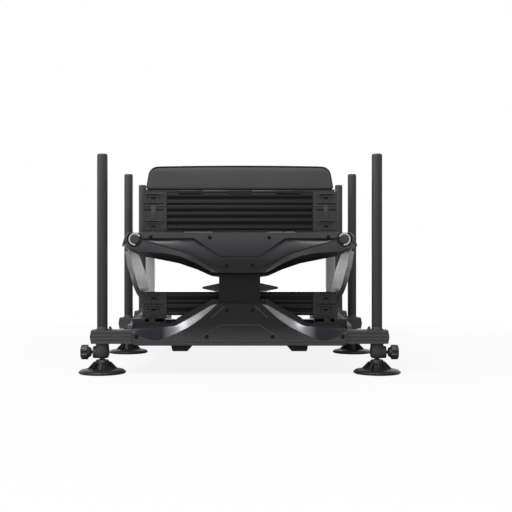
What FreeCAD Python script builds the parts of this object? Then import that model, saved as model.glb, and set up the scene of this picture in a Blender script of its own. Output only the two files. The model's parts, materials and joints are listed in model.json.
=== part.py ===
import FreeCAD, Part
import math
import os

from FreeCAD import Vector

# Fishing seat box. Millimetres. +Z is up, +Y is towards the footplate (the front), +X is to the
# sitter's right. The origin lies on the ground, midway between the six feet.

# Legs and feet
LEG_D = 25.0
LEG_WALL = 2.0
LEG_STAND_OFF = 69.0
REAR_LEG_Y = -405.5
FRONT_LEG_Y = 58.5
PLATE_LEG_Y = 405.5
LEG_TOP = 522.0
LEG_BOTTOM = 38.0
CAP_HEAD = 8.0
CAP_PLUG = 16.0
PLUG_CLEAR = 0.05
MARK_RISE = 4.0
MARK_W = 1.5
MARK_DEEP = 0.25
BALL_Z = 20.0
BALL_R = 11.0
BALL_CLEAR = 0.15
STUD_NECK_R = 6.0
STUD_FLANGE = 2.0
STUD_PLUG = 22.0
FOOT_D = 112.0
FOOT_DOME_R = 18.5
FOOT_MOUTH_Z = 32.0
FOOT_MOUTH_R = 10.4
FOOT_THROAT_R = 9.0
FOOT_RIM = 8.0
FOOT_SOLE = 1.5
FOOT_SOLE_RING = 14.0
FOOT_GUSSETS = 10
FOOT_GUSSET_T = 3.2
FOOT_NOTCHES = 16
FOOT_NOTCH_R = 3.5

# Leg bars, clamps and knobs
BAR_BOTTOM = 71.0
BAR_H = 32.0
BAR_W = 38.0
BAR_WALL = 3.5
BAR_END_REACH = 23.0
BAR_CAP_T = 4.0
BAR_CAP_CHAMFER = 3.0
BAR_GROOVES = 3
BAR_GROOVE_W = 2.4
BAR_GROOVE_DEEP = 1.2
BAR_NUB = 8.0
CLAMP_BOTTOM = 37.0
CLAMP_R = 17.0
CLAMP_NECK_R = 15.5
CLAMP_CLEAR = 0.2
SLEEVE_R = 15.0
SLEEVE_COLLAR = 3.0
BOSS_R = 14.5
BOSS_REACH = 21.0
BOSS_Z = 50.0
SCREW_R = 4.0
SCREW_CLEAR = 0.1
SCREW_TIP_GAP = 0.3
KNOB_R = 17.5
KNOB_HUB_R = 9.5
KNOB_START = 26.6
KNOB_HUB = 7.4
KNOB_HEAD = 16.0
KNOB_CROWN = 2.0
KNOB_LOBES = 6
KNOB_SCALLOP_R = 6.0

# Chassis
BEAM_PLATE = 5.0
BEAM_WALL = 4.0
BEAM_STEP = 8.0
FRONT_BEAM_DEPTH = 22.5
UPPER_BASE = 334.0
UPPER_BEAM_H = 106.0
COLUMN_HALF = 48.8
COLUMN_GAP = 0.2
COLUMN_BOTTOM = 167.0
COLUMN_LAP = 9.0
COLUMN_SET_BACK = 9.5
COLUMN_DEPTH = 30.0
COLUMN_WALL = 4.0
LOWER_BEAM_BOTTOM = 67.0
LOWER_BEAM_TOP = 174.0
LOWER_BEAM_INSET = 3.0
FRONT_UPPER_H = 44.0
FRONT_LOWER_BOTTOM = 76.0
FRONT_LOWER_TOP = 97.0
SHELF_T = 8.0
REAR_SHELF_REACH = 56.5
FRONT_SHELF_REACH = 105.0
SIDE_STAND_OFF = 20.5
RAIL_W = 30.0
RAIL_BOTTOM = 64.0
LOWER_BASE = 128.0
RAIL_WALL = 4.0
CHANNEL_CLEAR = 0.5
UPPER_RAIL_H = 34.0
UPPER_RAIL_GAP = 2.5
UPPER_RAIL_W = 37.0
UPPER_RAIL_WALL = 4.0
SIDE_PLATE_T = 12.0
BRACE_DROP = 30.0
BRACE_FRONT_GAP = 40.0
BRACE_LIP = 11.0
POST_W = 25.0
POST_FOOT_INSET = 4.0
POST_FOOT_H = 22.0
POST_WALL = 4.0
PAD_H = 5.0
PAD_INSET = 4.0
MID_PAD_HALF = 66.0
SIDE_PAD_W = 44.0
BASE_PAD_BOTTOM = 53.0
BASE_PAD_INNER = 111.0
BASE_PAD_W = 51.0
TRIM_INSET = 30.0
TRIM_DROP = 16.0
TRIM_R = 14.5
TRIM_W = 3.0
TRIM_POCKET_R = 19.0
TRIM_POCKET_DEEP = 10.0
SCREW_HEAD_R = 4.5
SCREW_HEAD_H = 3.0
SCREW_SINK = 1.0
HEX_R = 2.0

# Footplate
PLATE_RAIL_W = 20.0
PLATE_RAIL_H = 24.0
PLATE_RAIL_REAR = -150.0
DECK_TOP = 74.0
DECK_H = 16.0
DECK_WALL = 3.0
DECK_REAR = 150.0
DECK_FRONT = 440.0
DECK_EAR_REAR = 306.0
DECK_SIDE_GAP = 2.0
DECK_RIB_PITCH = 48.0
SLOT_W = 8.0
SLOT_L = 52.0
SLOT_PITCH = 75.0

# Stacks of trays and drawers
STACK_HALF = 237.5
STACK_DEPTH = 361.0
STACK_REAR = -355.5
COVER_T = 5.5
REAR_BLOCK_W = 59.5
FRONT_BLOCK_W = 8.5
BLOCK_WRAP = 55.0
CASE_WALL = 3.0
RIDGE_PITCH = 7.0
RIDGE_H = 4.0
RIDGE_T = 3.5
UPPER_PANEL_RISE = 8.5
DRAWER_CASE_H = 71.0
TRAY_H = 31.0
LOWER_PANEL_RISE = 6.0
LOWER_CASE_H = 35.5
LOWER_CASE_TOP_H = 26.0
LOWER_COVER_T = 2.5
DRAWER_SIDE_GAP = 1.0
DRAWER_GAP = 1.5
DRAWER_WALL = 2.5
GRIP_W = 120.0
GRIP_H = 14.0
GRIP_DEEP = 3.0
DIVIDER_X = 80.0
HUMP_HALF = 107.0
HUMP_TOP_HALF = 60.0
HUMP_H = 13.0
HUMP_W = 34.0
CATCH_INSET = 27.0
CATCH_BAR_W = 28.0
CATCH_BAR_H = 6.0
CATCH_STEM_W = 10.5
CATCH_T = 3.0
CATCH_TRAVEL = 8.0
CATCH_HOOK = 7.0
CATCH_CLEAR = 0.6
SEAM_CATCH_RISE = 10.0
UPPER_CATCH_RISE = 16.0
LOWER_CATCH_RISE = 14.0

# Seat
LID_T = 6.0
LID_GAP = 0.4
HINGE_PIN_R = 1.5
KNUCKLE_R = 3.5
KNUCKLE_L = 60.0
KNUCKLE_CLEAR = 0.5
KNUCKLES = 5
HINGE_CLEAR = 0.05
HINGE_STAND_OFF = 0.3
CUSHION_INSET = 2.0
CUSHION_DRAW_IN = 6.0
SEAT_RISE = 48.0
SEAT_LIP_RISE = 18.0
CUSHION_GAP = 0.3
CUSHION_R = 24.0

# Places worked out from the sizes above
UPPER_BEAM_BOTTOM = UPPER_BASE - UPPER_BEAM_H
COLUMN_TOP = UPPER_BEAM_BOTTOM + COLUMN_LAP
FRONT_UPPER_BOTTOM = UPPER_BASE - FRONT_UPPER_H
UPPER_RAIL_BOTTOM = UPPER_BASE - UPPER_RAIL_H
UPPER_PANEL = UPPER_BASE + UPPER_PANEL_RISE
UPPER_SEAM = UPPER_BASE + DRAWER_CASE_H
TRAY_TOP = UPPER_SEAM + TRAY_H
LOWER_PANEL = LOWER_BASE + LOWER_PANEL_RISE
LOWER_SEAM = LOWER_BASE + LOWER_CASE_H
LOWER_TOP = LOWER_SEAM + LOWER_CASE_TOP_H
SEAT_TOP = TRAY_TOP + SEAT_RISE
SEAT_LIP_TOP = SEAT_TOP + SEAT_LIP_RISE
FRAME_REAR = REAR_LEG_Y - BAR_W / 2 - BEAM_PLATE
BEAM_BACK = REAR_LEG_Y + BAR_W / 2 + BEAM_PLATE
FRAME_FRONT = FRONT_LEG_Y + BAR_W / 2 + BEAM_PLATE
FRONT_BEAM_REAR = FRAME_FRONT - FRONT_BEAM_DEPTH
BAR_TOP = BAR_BOTTOM + BAR_H
BAR_MID = BAR_BOTTOM + BAR_H / 2
SIDE_X = STACK_HALF + SIDE_STAND_OFF
LEG_X = SIDE_X + LEG_STAND_OFF
BAR_END_X = LEG_X + BAR_END_REACH
RAIL_INNER = SIDE_X - RAIL_W
UPPER_RAIL_INNER = STACK_HALF + UPPER_RAIL_GAP
UPPER_BEAM_END = UPPER_RAIL_INNER + UPPER_RAIL_W
LOWER_BEAM_END = SIDE_X - LOWER_BEAM_INSET
POST_INNER = UPPER_BEAM_END - POST_W
POST_FOOT_INNER = RAIL_INNER + POST_FOOT_INSET
TRIM_X = UPPER_BEAM_END - TRIM_INSET
TRIM_Z = UPPER_BASE - TRIM_DROP
PLATE_RAIL_OUTER = RAIL_INNER + (RAIL_W + PLATE_RAIL_W) / 2
PLATE_RAIL_INNER = PLATE_RAIL_OUTER - PLATE_RAIL_W
PLATE_RAIL_BOTTOM = RAIL_BOTTOM + RAIL_WALL + CHANNEL_CLEAR
STACK_FRONT = STACK_REAR + STACK_DEPTH
CASE_HALF = STACK_HALF - COVER_T
CASE_REAR = STACK_REAR + COVER_T
CASE_FRONT = STACK_FRONT - COVER_T
PANEL_HALF = STACK_HALF - REAR_BLOCK_W
CATCH_X = STACK_HALF - CATCH_INSET
CUSHION_HALF = CASE_HALF - CUSHION_INSET
DRAWER_HALF = CASE_HALF - CASE_WALL - DRAWER_SIDE_GAP
HINGE_Y = CASE_REAR - KNUCKLE_R - HINGE_STAND_OFF
HINGE_Z = TRAY_TOP + 1.0
LID_TOP = TRAY_TOP + LID_GAP + LID_T
LEG_PLACES = [
    ("rear_left", -1, REAR_LEG_Y),
    ("rear_right", 1, REAR_LEG_Y),
    ("front_left", -1, FRONT_LEG_Y),
    ("front_right", 1, FRONT_LEG_Y),
    ("plate_left", -1, PLATE_LEG_Y),
    ("plate_right", 1, PLATE_LEG_Y),
]


def box(x0, x1, y0, y1, z0, z1):
    return Part.makeBox(x1 - x0, y1 - y0, z1 - z0, Vector(x0, y0, z0))


def upright(x, y, z0, z1, radius):
    return Part.makeCylinder(radius, z1 - z0, Vector(x, y, z0), Vector(0, 0, 1))


def along_x(x0, x1, y, z, radius):
    return Part.makeCylinder(radius, x1 - x0, Vector(x0, y, z), Vector(1, 0, 0))


def along_y(y0, y1, x, z, radius):
    return Part.makeCylinder(radius, y1 - y0, Vector(x, y0, z), Vector(0, 1, 0))


def wire_through(points, place):
    """Closed wire. A point is (u, v), or (u, v, mu, mv) for an arc through (mu, mv) to (u, v)."""
    edges = []
    for before, now in zip(points[-1:] + points[:-1], points):
        start = place(before[0], before[1])
        end = place(now[0], now[1])
        if len(now) == 4:
            edges.append(Part.Arc(start, place(now[2], now[3]), end).toShape())
        else:
            edges.append(Part.makeLine(start, end))
    return Part.Wire(edges)


def prism_xz(points, y0, y1):
    face = Part.Face(wire_through(points, lambda x, z: Vector(x, y0, z)))
    return face.extrude(Vector(0, y1 - y0, 0))


def prism_yz(points, x0, x1):
    face = Part.Face(wire_through(points, lambda y, z: Vector(x0, y, z)))
    return face.extrude(Vector(x1 - x0, 0, 0))


def turned(points):
    """Solid of revolution about the Z axis from (r, z) points."""
    face = Part.Face(wire_through(points, lambda r, z: Vector(r, 0, z)))
    return face.revolve(Vector(0, 0, 0), Vector(0, 0, 1), 360)


def flipped(shape):
    return shape.mirror(Vector(0, 0, 0), Vector(1, 0, 0))


def both_sides(shape):
    return [shape, flipped(shape)]


def joined(shapes):
    whole = shapes[0].fuse(shapes[1:]) if len(shapes) > 1 else shapes[0]
    return whole.removeSplitter()


def cut(shape, tools):
    return shape.cut(tools[0].fuse(tools[1:]) if len(tools) > 1 else tools[0])


def on_side(shape, side):
    return shape if side > 0 else flipped(shape)


def leg():
    """Tube with a turned ring that marks its depth above the clamp, and its end cap."""
    tube_top = LEG_TOP - CAP_HEAD
    outer = LEG_D / 2
    inner = outer - LEG_WALL
    tube = upright(0, 0, LEG_BOTTOM, tube_top, outer)
    tube = tube.cut(upright(0, 0, LEG_BOTTOM - 1, tube_top + 1, inner))
    mark = BAR_TOP + SLEEVE_COLLAR + MARK_RISE
    ring = upright(0, 0, mark, mark + MARK_W, outer + 1)
    tube = tube.cut(ring.cut(upright(0, 0, mark - 1, mark + MARK_W + 1, outer - MARK_DEEP)))
    rounding = CAP_HEAD / 2
    cap = turned([
        (0, tube_top - CAP_PLUG), (inner - PLUG_CLEAR, tube_top - CAP_PLUG),
        (inner - PLUG_CLEAR, tube_top), (outer, tube_top), (outer, LEG_TOP - rounding),
        (outer - rounding, LEG_TOP, outer - rounding * (1 - math.sqrt(0.5)),
         LEG_TOP - rounding * (1 - math.sqrt(0.5))),
        (0, LEG_TOP)])
    return [tube, cap]


def ball_stud():
    plug_r = LEG_D / 2 - LEG_WALL - PLUG_CLEAR
    flange_r = LEG_D / 2
    neck_z = BALL_Z + math.sqrt(BALL_R ** 2 - STUD_NECK_R ** 2)
    return turned([
        (0, BALL_Z - BALL_R), (STUD_NECK_R, neck_z, BALL_R, BALL_Z),
        (STUD_NECK_R, LEG_BOTTOM - STUD_FLANGE), (flange_r, LEG_BOTTOM - STUD_FLANGE),
        (flange_r, LEG_BOTTOM), (plug_r, LEG_BOTTOM), (plug_r, LEG_BOTTOM + STUD_PLUG),
        (0, LEG_BOTTOM + STUD_PLUG)])


def foot():
    """Round swivel foot with the ball housing, gussets and a notched rim."""
    rim = FOOT_D / 2
    cavity = BALL_R + BALL_CLEAR
    throat_z = BALL_Z + math.sqrt(cavity ** 2 - FOOT_THROAT_R ** 2)
    mouth_outer = math.sqrt(FOOT_DOME_R ** 2 - (FOOT_MOUTH_Z - BALL_Z) ** 2)
    half_way = math.radians(22)
    body = turned([
        (0, FOOT_SOLE), (rim - FOOT_SOLE_RING - 4, FOOT_SOLE), (rim - FOOT_SOLE_RING - 2, 0),
        (rim - 2, 0), (rim, 2), (rim, FOOT_RIM / 2),
        (rim - 5, FOOT_RIM), (rim - 30, FOOT_RIM + 5), (FOOT_DOME_R + 1.5, FOOT_RIM + 8),
        (FOOT_DOME_R, BALL_Z),
        (mouth_outer, FOOT_MOUTH_Z,
         FOOT_DOME_R * math.cos(half_way), BALL_Z + FOOT_DOME_R * math.sin(half_way)),
        (FOOT_MOUTH_R, FOOT_MOUTH_Z), (FOOT_THROAT_R, throat_z),
        (0, BALL_Z - cavity, cavity * math.cos(0.3), BALL_Z - cavity * math.sin(0.3))])
    inner = FOOT_DOME_R - 3.5
    gusset = prism_xz([
        (inner, FOOT_RIM + 2), (rim - 21, FOOT_RIM), (rim - 21, FOOT_RIM + 4),
        (FOOT_DOME_R + 2, FOOT_MOUTH_Z - 5), (inner, FOOT_MOUTH_Z - 5)],
        -FOOT_GUSSET_T / 2, FOOT_GUSSET_T / 2)
    gussets = []
    for i in range(FOOT_GUSSETS):
        one = gusset.copy()
        one.rotate(Vector(0, 0, 0), Vector(0, 0, 1), 90 + i * 360 / FOOT_GUSSETS)
        gussets.append(one)
    notches = []
    for i in range(FOOT_NOTCHES):
        angle = 2 * math.pi * (i + 0.5) / FOOT_NOTCHES
        spot = rim + FOOT_NOTCH_R * 0.5
        notches.append(upright(spot * math.cos(angle), spot * math.sin(angle),
                               FOOT_RIM / 2 - 1, FOOT_RIM + 1, FOOT_NOTCH_R))
    return cut(joined([body] + gussets), notches)


def knob():
    """Lobed head, hub and screw on the +X side of a leg at the origin."""
    start = KNOB_START
    head_start = start + KNOB_HUB
    end = head_start + KNOB_HEAD
    hub = Part.makeCone(KNOB_HUB_R, KNOB_R - 3, KNOB_HUB, Vector(start, 0, BOSS_Z), Vector(1, 0, 0))
    head = along_x(head_start, end - KNOB_CROWN, 0, BOSS_Z, KNOB_R)
    crown = Part.makeCone(KNOB_R, KNOB_R - KNOB_CROWN, KNOB_CROWN,
                          Vector(end - KNOB_CROWN, 0, BOSS_Z), Vector(1, 0, 0))
    scallops = []
    for i in range(KNOB_LOBES):
        angle = 2 * math.pi * i / KNOB_LOBES
        spot = KNOB_R + KNOB_SCALLOP_R * 0.45
        scallops.append(along_x(start, end + 1, spot * math.cos(angle),
                                BOSS_Z + spot * math.sin(angle), KNOB_SCALLOP_R))
    lobed = cut(joined([hub, head, crown]), scallops)
    screw = along_x(LEG_D / 2 + SCREW_TIP_GAP, start, 0, BOSS_Z, SCREW_R)
    return [lobed, screw]


def clamp():
    """Clamp body under the bar, its sleeve up through the bar and the screw boss."""
    bore = LEG_D / 2 + CLAMP_CLEAR
    body = turned([
        (bore, CLAMP_BOTTOM), (CLAMP_NECK_R - 1.5, CLAMP_BOTTOM), (CLAMP_NECK_R, CLAMP_BOTTOM + 3),
        (CLAMP_R, CLAMP_BOTTOM + 8), (CLAMP_R, BOSS_Z + 4), (CLAMP_NECK_R, BAR_BOTTOM - 6),
        (CLAMP_NECK_R, BAR_BOTTOM), (SLEEVE_R, BAR_BOTTOM), (SLEEVE_R, BAR_TOP + SLEEVE_COLLAR - 1),
        (SLEEVE_R - 1, BAR_TOP + SLEEVE_COLLAR), (bore, BAR_TOP + SLEEVE_COLLAR)])
    boss = along_x(0, BOSS_REACH, 0, BOSS_Z, BOSS_R)
    whole = joined([body, boss])
    return cut(whole, [
        upright(0, 0, CLAMP_BOTTOM - 5, BAR_TOP + SLEEVE_COLLAR + 1, bore),
        along_x(0, BOSS_REACH + 1, 0, BOSS_Z, SCREW_R + SCREW_CLEAR)])


def bar_body(x0, x1):
    """Ribbed hollow extrusion along X, centred on Y = 0."""
    half = BAR_W / 2
    outer = box(x0, x1, -half, half, BAR_BOTTOM, BAR_TOP)
    inner = box(x0, x1, -half + BAR_WALL, half - BAR_WALL, BAR_BOTTOM + BAR_WALL, BAR_TOP - BAR_WALL)
    tools = [inner]
    pitch = BAR_H / (BAR_GROOVES + 1)
    for i in range(BAR_GROOVES):
        z = BAR_BOTTOM + pitch * (i + 1)
        for y in (-half, half):
            tools.append(box(x0, x1, y - BAR_GROOVE_DEEP, y + BAR_GROOVE_DEEP,
                             z - BAR_GROOVE_W / 2, z + BAR_GROOVE_W / 2))
    return cut(outer, tools)


def bar_sleeve_hole():
    return upright(LEG_X, 0, BAR_BOTTOM - 1, BAR_TOP + 1, SLEEVE_R + CLAMP_CLEAR)


def bar_nub():
    start = LEG_X - SLEEVE_R - BAR_NUB - 1
    return prism_xz([(start, BAR_TOP), (start + BAR_NUB, BAR_TOP),
                     (start + BAR_NUB, BAR_TOP + BAR_NUB), (start + BAR_NUB / 2, BAR_TOP + BAR_NUB)],
                    -BAR_NUB / 2, BAR_NUB / 2)


def bar_cap():
    half = BAR_W / 2
    end = BAR_END_X + BAR_CAP_T
    c = BAR_CAP_CHAMFER
    return prism_xz([(BAR_END_X, BAR_BOTTOM), (end - c, BAR_BOTTOM), (end, BAR_MID),
                     (end - c, BAR_TOP), (BAR_END_X, BAR_TOP)], -half, half)


def through_bar(y):
    whole = joined([bar_body(-BAR_END_X, BAR_END_X)] + both_sides(bar_nub()))
    whole = cut(whole, both_sides(bar_sleeve_hole()))
    pieces = [whole] + both_sides(bar_cap())
    return [piece.translated(Vector(0, y, 0)) for piece in pieces]


def arm_pair(inner_x, y):
    arm = joined([bar_body(inner_x, BAR_END_X), bar_nub()]).cut(bar_sleeve_hole())
    pieces = both_sides(arm) + both_sides(bar_cap())
    return [piece.translated(Vector(0, y, 0)) for piece in pieces]


def spread(shares, reach, bottom, top):
    """Points from shares of a length along X and shares of the height between bottom and top."""
    points = []
    for share in shares:
        point = []
        for across, up in zip(share[0::2], share[1::2]):
            point += [across * reach, bottom + up * (top - bottom)]
        points.append(tuple(point))
    return points


def on_upper_beam(shares):
    return spread(shares, UPPER_BEAM_END, UPPER_BEAM_BOTTOM, UPPER_BASE)


def on_lower_beam(shares):
    return spread(shares, LOWER_BEAM_END, LOWER_BEAM_BOTTOM, LOWER_BEAM_TOP)


def upper_outline():
    """Right half of the rear upper beam's outline, seen from the rear."""
    notch = COLUMN_HALF + COLUMN_GAP
    edge = on_upper_beam([
        (0, 1), (0.9458, 1), (0.9783, 0.9057), (1, 0.6981), (0.8556, 0.4717),
        (0.2383, 0.0189, 0.5235, 0.3113)])
    return edge + [(notch, UPPER_BEAM_BOTTOM), (notch, COLUMN_TOP), (0, COLUMN_TOP)]


def upper_plate_outline():
    """Right half of the raised front plate of the rear upper beam."""
    return on_upper_beam([
        (0, 1), (0.8809, 1), (0.8159, 0.8396), (0.1986, 0.1698, 0.4657, 0.566), (0, 0.1698)])


def lower_outline():
    """Right half of the rear lower beam's outline, seen from the rear."""
    notch = COLUMN_HALF + COLUMN_GAP
    edge = on_lower_beam([
        (0, 0), (0.9686, 0), (1, 0.0935), (1, 0.3084), (0.9412, 0.4299), (0.5843, 0.4299),
        (0.5529, 0.5701), (0.2824, 0.9439), (0.2275, 1)])
    return edge + [(notch, LOWER_BEAM_TOP), (notch, COLUMN_BOTTOM), (0, COLUMN_BOTTOM)]


def lower_plate_outline():
    """Right half of the raised front plate of the rear lower beam."""
    return on_lower_beam([
        (0, 0.0187), (0.9569, 0.0187), (0.9843, 0.1121), (0.9843, 0.2897), (0.9333, 0.4019),
        (0.5882, 0.4019), (0.2431, 0.8879), (0.1765, 0.9159), (0, 0.9159)])


def beam_shell(outline, plate_outline):
    """Half of a moulded beam: a raised front plate on a shell that is open at the back."""
    step = FRAME_REAR + BEAM_STEP
    shell = prism_xz(outline, step, BEAM_BACK)
    plate = prism_xz(plate_outline, FRAME_REAR, step)
    face = Part.Face(wire_through(outline, lambda x, z: Vector(x, step + BEAM_PLATE, z)))
    hollow = face.makeOffset2D(-BEAM_WALL, 2, False, False, False)
    hollow = hollow.extrude(Vector(0, BEAM_BACK - step, 0))
    return joined([shell.cut(hollow), plate])


def groove(points, y_face, width=2.0, deep=1.5):
    """Cutters for a thin groove along straight runs on a face seen from the rear."""
    runs = []
    for (x0, z0), (x1, z1) in zip(points[:-1], points[1:]):
        length = math.hypot(x1 - x0, z1 - z0)
        run = box(-width / 2, length + width / 2, y_face - deep, y_face + deep, -width / 2, width / 2)
        run.rotate(Vector(0, 0, 0), Vector(0, 1, 0), -math.degrees(math.atan2(z1 - z0, x1 - x0)))
        run.translate(Vector(x0, 0, z0))
        runs.append(run)
    return runs


def screw_pocket(x, z, y_face):
    return along_y(y_face - 1, y_face + SCREW_SINK + SCREW_HEAD_H, x, z, SCREW_HEAD_R)


UPPER_SCREWS = on_upper_beam([(0.7545, 0.8962), (0.2527, 0.8821), (0.1101, 0.2642)])
LOWER_SCREWS = on_lower_beam([(0.9529, 0.1963), (0.3043, 0.1963), (0.1176, 0.7757)])


def rear_upper_beam():
    half = beam_shell(upper_outline(), upper_plate_outline())
    shelf = box(0, STACK_HALF, BEAM_BACK - BEAM_WALL, BEAM_BACK + REAR_SHELF_REACH,
                UPPER_BASE - SHELF_T, UPPER_BASE)
    half = joined([half, shelf])
    crease = on_upper_beam([(0.8123, 0.7925), (0.3935, 0.8679), (0.1733, 0.4528), (0, 0.4528)])
    tools = groove(crease, FRAME_REAR)
    tools += [screw_pocket(x, z, FRAME_REAR) for x, z in UPPER_SCREWS]
    step = FRAME_REAR + BEAM_STEP
    pocket = along_y(FRAME_REAR - 1, step + TRIM_POCKET_DEEP / 4, TRIM_X, TRIM_Z, TRIM_POCKET_R)
    core = along_y(FRAME_REAR - 1, step + TRIM_POCKET_DEEP, TRIM_X, TRIM_Z, TRIM_R - TRIM_W)
    tools += [pocket.cut(core)]
    tools += [catch_slot(UPPER_BASE)]
    half = cut(half, tools)
    return joined(both_sides(half))


def rear_lower_beam():
    half = beam_shell(lower_outline(), lower_plate_outline())
    riser = box(PANEL_HALF + 2, SIDE_X, BEAM_BACK - 2 * BEAM_WALL, BEAM_BACK, BAR_TOP, LOWER_BASE)
    tab = box(PANEL_HALF + 2, RAIL_INNER, BEAM_BACK - 2 * BEAM_WALL, BEAM_BACK + REAR_SHELF_REACH,
              LOWER_BASE - SHELF_T, LOWER_BASE)
    half = joined([half, riser, tab])
    width = BAR_W / 2 + CHANNEL_CLEAR
    passage = box(-1, SIDE_X + 1, REAR_LEG_Y - width, REAR_LEG_Y + width,
                  BAR_BOTTOM - CLAMP_CLEAR, BAR_TOP + CLAMP_CLEAR)
    tools = [passage, catch_slot(LOWER_BASE)]
    tools += groove(on_lower_beam([(0.3608, 0.1963), (0.1843, 0.4673), (0, 0.4673)]), FRAME_REAR)
    tools += groove(on_lower_beam([(0.1373, 0.8972), (0.2667, 0.6075)]), FRAME_REAR)
    tools += [screw_pocket(x, z, FRAME_REAR) for x, z in LOWER_SCREWS]
    half = cut(half, tools)
    return joined(both_sides(half))


def rear_column():
    front = FRAME_REAR + COLUMN_SET_BACK
    back = front + COLUMN_DEPTH
    outer = box(-COLUMN_HALF, COLUMN_HALF, front, back, COLUMN_BOTTOM, COLUMN_TOP)
    w = COLUMN_WALL
    inner = box(-COLUMN_HALF + w, COLUMN_HALF - w, front + w, back - w, COLUMN_BOTTOM, COLUMN_TOP)
    return outer.cut(inner)


def front_upper_beam():
    reach = UPPER_BEAM_END
    outer = box(-reach, reach, FRONT_BEAM_REAR, FRAME_FRONT, FRONT_UPPER_BOTTOM, UPPER_BASE)
    w = BEAM_WALL
    inner = box(-reach + w, reach - w, FRONT_BEAM_REAR - 1, FRAME_FRONT - w,
                FRONT_UPPER_BOTTOM + w, UPPER_BASE - w)
    shelf = box(-STACK_HALF, STACK_HALF, FRONT_BEAM_REAR - FRONT_SHELF_REACH, FRONT_BEAM_REAR + 1,
                UPPER_BASE - SHELF_T, UPPER_BASE)
    window = box(-PANEL_HALF, PANEL_HALF, FRONT_BEAM_REAR - FRONT_SHELF_REACH + 20,
                 FRONT_BEAM_REAR - 20, UPPER_BASE - SHELF_T - 1, UPPER_BASE + 1)
    return joined([outer.cut(inner), shelf.cut(window)])


def front_lower_beam():
    outer = box(-RAIL_INNER, RAIL_INNER, FRONT_BEAM_REAR, FRAME_FRONT, FRONT_LOWER_BOTTOM, FRONT_LOWER_TOP)
    w = BEAM_WALL
    inner = box(-RAIL_INNER, RAIL_INNER, FRONT_BEAM_REAR + w, FRAME_FRONT - w,
                FRONT_LOWER_BOTTOM + w, FRONT_LOWER_TOP - w)
    return outer.cut(inner)


def upper_side_rail():
    """Hook-shaped extrusion along the top of the right side."""
    x0, x1 = UPPER_RAIL_INNER, UPPER_BEAM_END
    z0, z1 = UPPER_RAIL_BOTTOM, UPPER_BASE
    w = UPPER_RAIL_WALL
    outer = [(x0, z0), (x1, z0), (x1 - 6, z1 - 10), (x1 - 14, z1, x1 - 8.5, z1 - 3.5), (x0, z1)]
    inner = [(x0 + w, z0 + w), (x1 - w - 1, z0 + w), (x1 - 6 - w, z1 - 11), (x1 - 16, z1 - w), (x0 + w, z1 - w)]
    rail = prism_xz(outer, BEAM_BACK, FRONT_BEAM_REAR)
    return rail.cut(prism_xz(inner, BEAM_BACK - 1, FRONT_BEAM_REAR + 1))


def lower_side_rail():
    """Box extrusion along the bottom of the right side. The footplate rail slides in its channel."""
    rail = box(RAIL_INNER, SIDE_X, BEAM_BACK, FRAME_FRONT, RAIL_BOTTOM, LOWER_BASE)
    c = CHANNEL_CLEAR
    channel = box(PLATE_RAIL_INNER - c, PLATE_RAIL_OUTER + c, BEAM_BACK - 1, FRAME_FRONT + 1,
                  PLATE_RAIL_BOTTOM - c, PLATE_RAIL_BOTTOM + PLATE_RAIL_H + c)
    top = PLATE_RAIL_BOTTOM + PLATE_RAIL_H + c + RAIL_WALL
    attic = box(RAIL_INNER + RAIL_WALL, SIDE_X - RAIL_WALL, BEAM_BACK - 1, FRAME_FRONT + 1,
                top, LOWER_BASE - RAIL_WALL)
    return cut(rail, [channel, attic])


def side_plate():
    """Bright diagonal brace from the rear top corner to the front of the lower rail."""
    top = UPPER_RAIL_BOTTOM
    run = FRONT_BEAM_REAR - BRACE_FRONT_GAP - BEAM_BACK
    sweep = spread([
        (0.0386, 1), (0.9029, 0.4307, 0.5716, 0.7475), (1, 0.2574), (1, 0.0693), (0.726, 0.0693),
        (0, 0), (0, 0.0693), (0.7211, 0.1485), (0.7211, 0.2574), (0.6737, 0.3317),
        (0.0884, 0.6881, 0.335, 0.4703), (-0.0087, 0.7673)], run, LOWER_BASE - BRACE_DROP, top)
    sweep = [tuple(v + BEAM_BACK * (i % 2 == 0) for i, v in enumerate(point)) for point in sweep]
    lip = [(FRAME_REAR + 3, top - BRACE_LIP), (BEAM_BACK, top - BRACE_LIP), (BEAM_BACK, top)]
    return prism_yz(lip + sweep, SIDE_X, SIDE_X + SIDE_PLATE_T)


def corner_post():
    """Bright channel post at the right front corner, standing on the lower side rail."""
    foot = [(POST_FOOT_INNER, LOWER_BASE), (POST_FOOT_INNER, LOWER_BASE + 4),
            (POST_INNER, LOWER_BASE + POST_FOOT_H), (POST_INNER, FRONT_UPPER_BOTTOM),
            (UPPER_BEAM_END, FRONT_UPPER_BOTTOM), (UPPER_BEAM_END, LOWER_BASE)]
    post = prism_xz(foot, FRONT_BEAM_REAR, FRAME_FRONT)
    channel = box(POST_INNER + POST_WALL, UPPER_BEAM_END - POST_WALL, FRONT_BEAM_REAR + POST_WALL,
                  FRAME_FRONT + 1, LOWER_BASE + POST_FOOT_H, FRONT_UPPER_BOTTOM + 1)
    return post.cut(channel)


def corner_trim():
    """Bright C-shaped trim in the pocket at the right end of the rear upper beam."""
    y0 = FRAME_REAR + 1
    y1 = FRAME_REAR + BEAM_STEP + TRIM_POCKET_DEEP / 4
    ring = along_y(y0, y1, TRIM_X, TRIM_Z, TRIM_R).cut(
        along_y(y0 - 1, y1 + 1, TRIM_X, TRIM_Z, TRIM_R - TRIM_W))
    wedge = prism_xz([(TRIM_X, TRIM_Z), (TRIM_X - 40, TRIM_Z + 22), (TRIM_X - 40, TRIM_Z - 40),
                      (TRIM_X - 4, TRIM_Z - 40)], y0 - 1, y1 + 1)
    return ring.cut(wedge)


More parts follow.
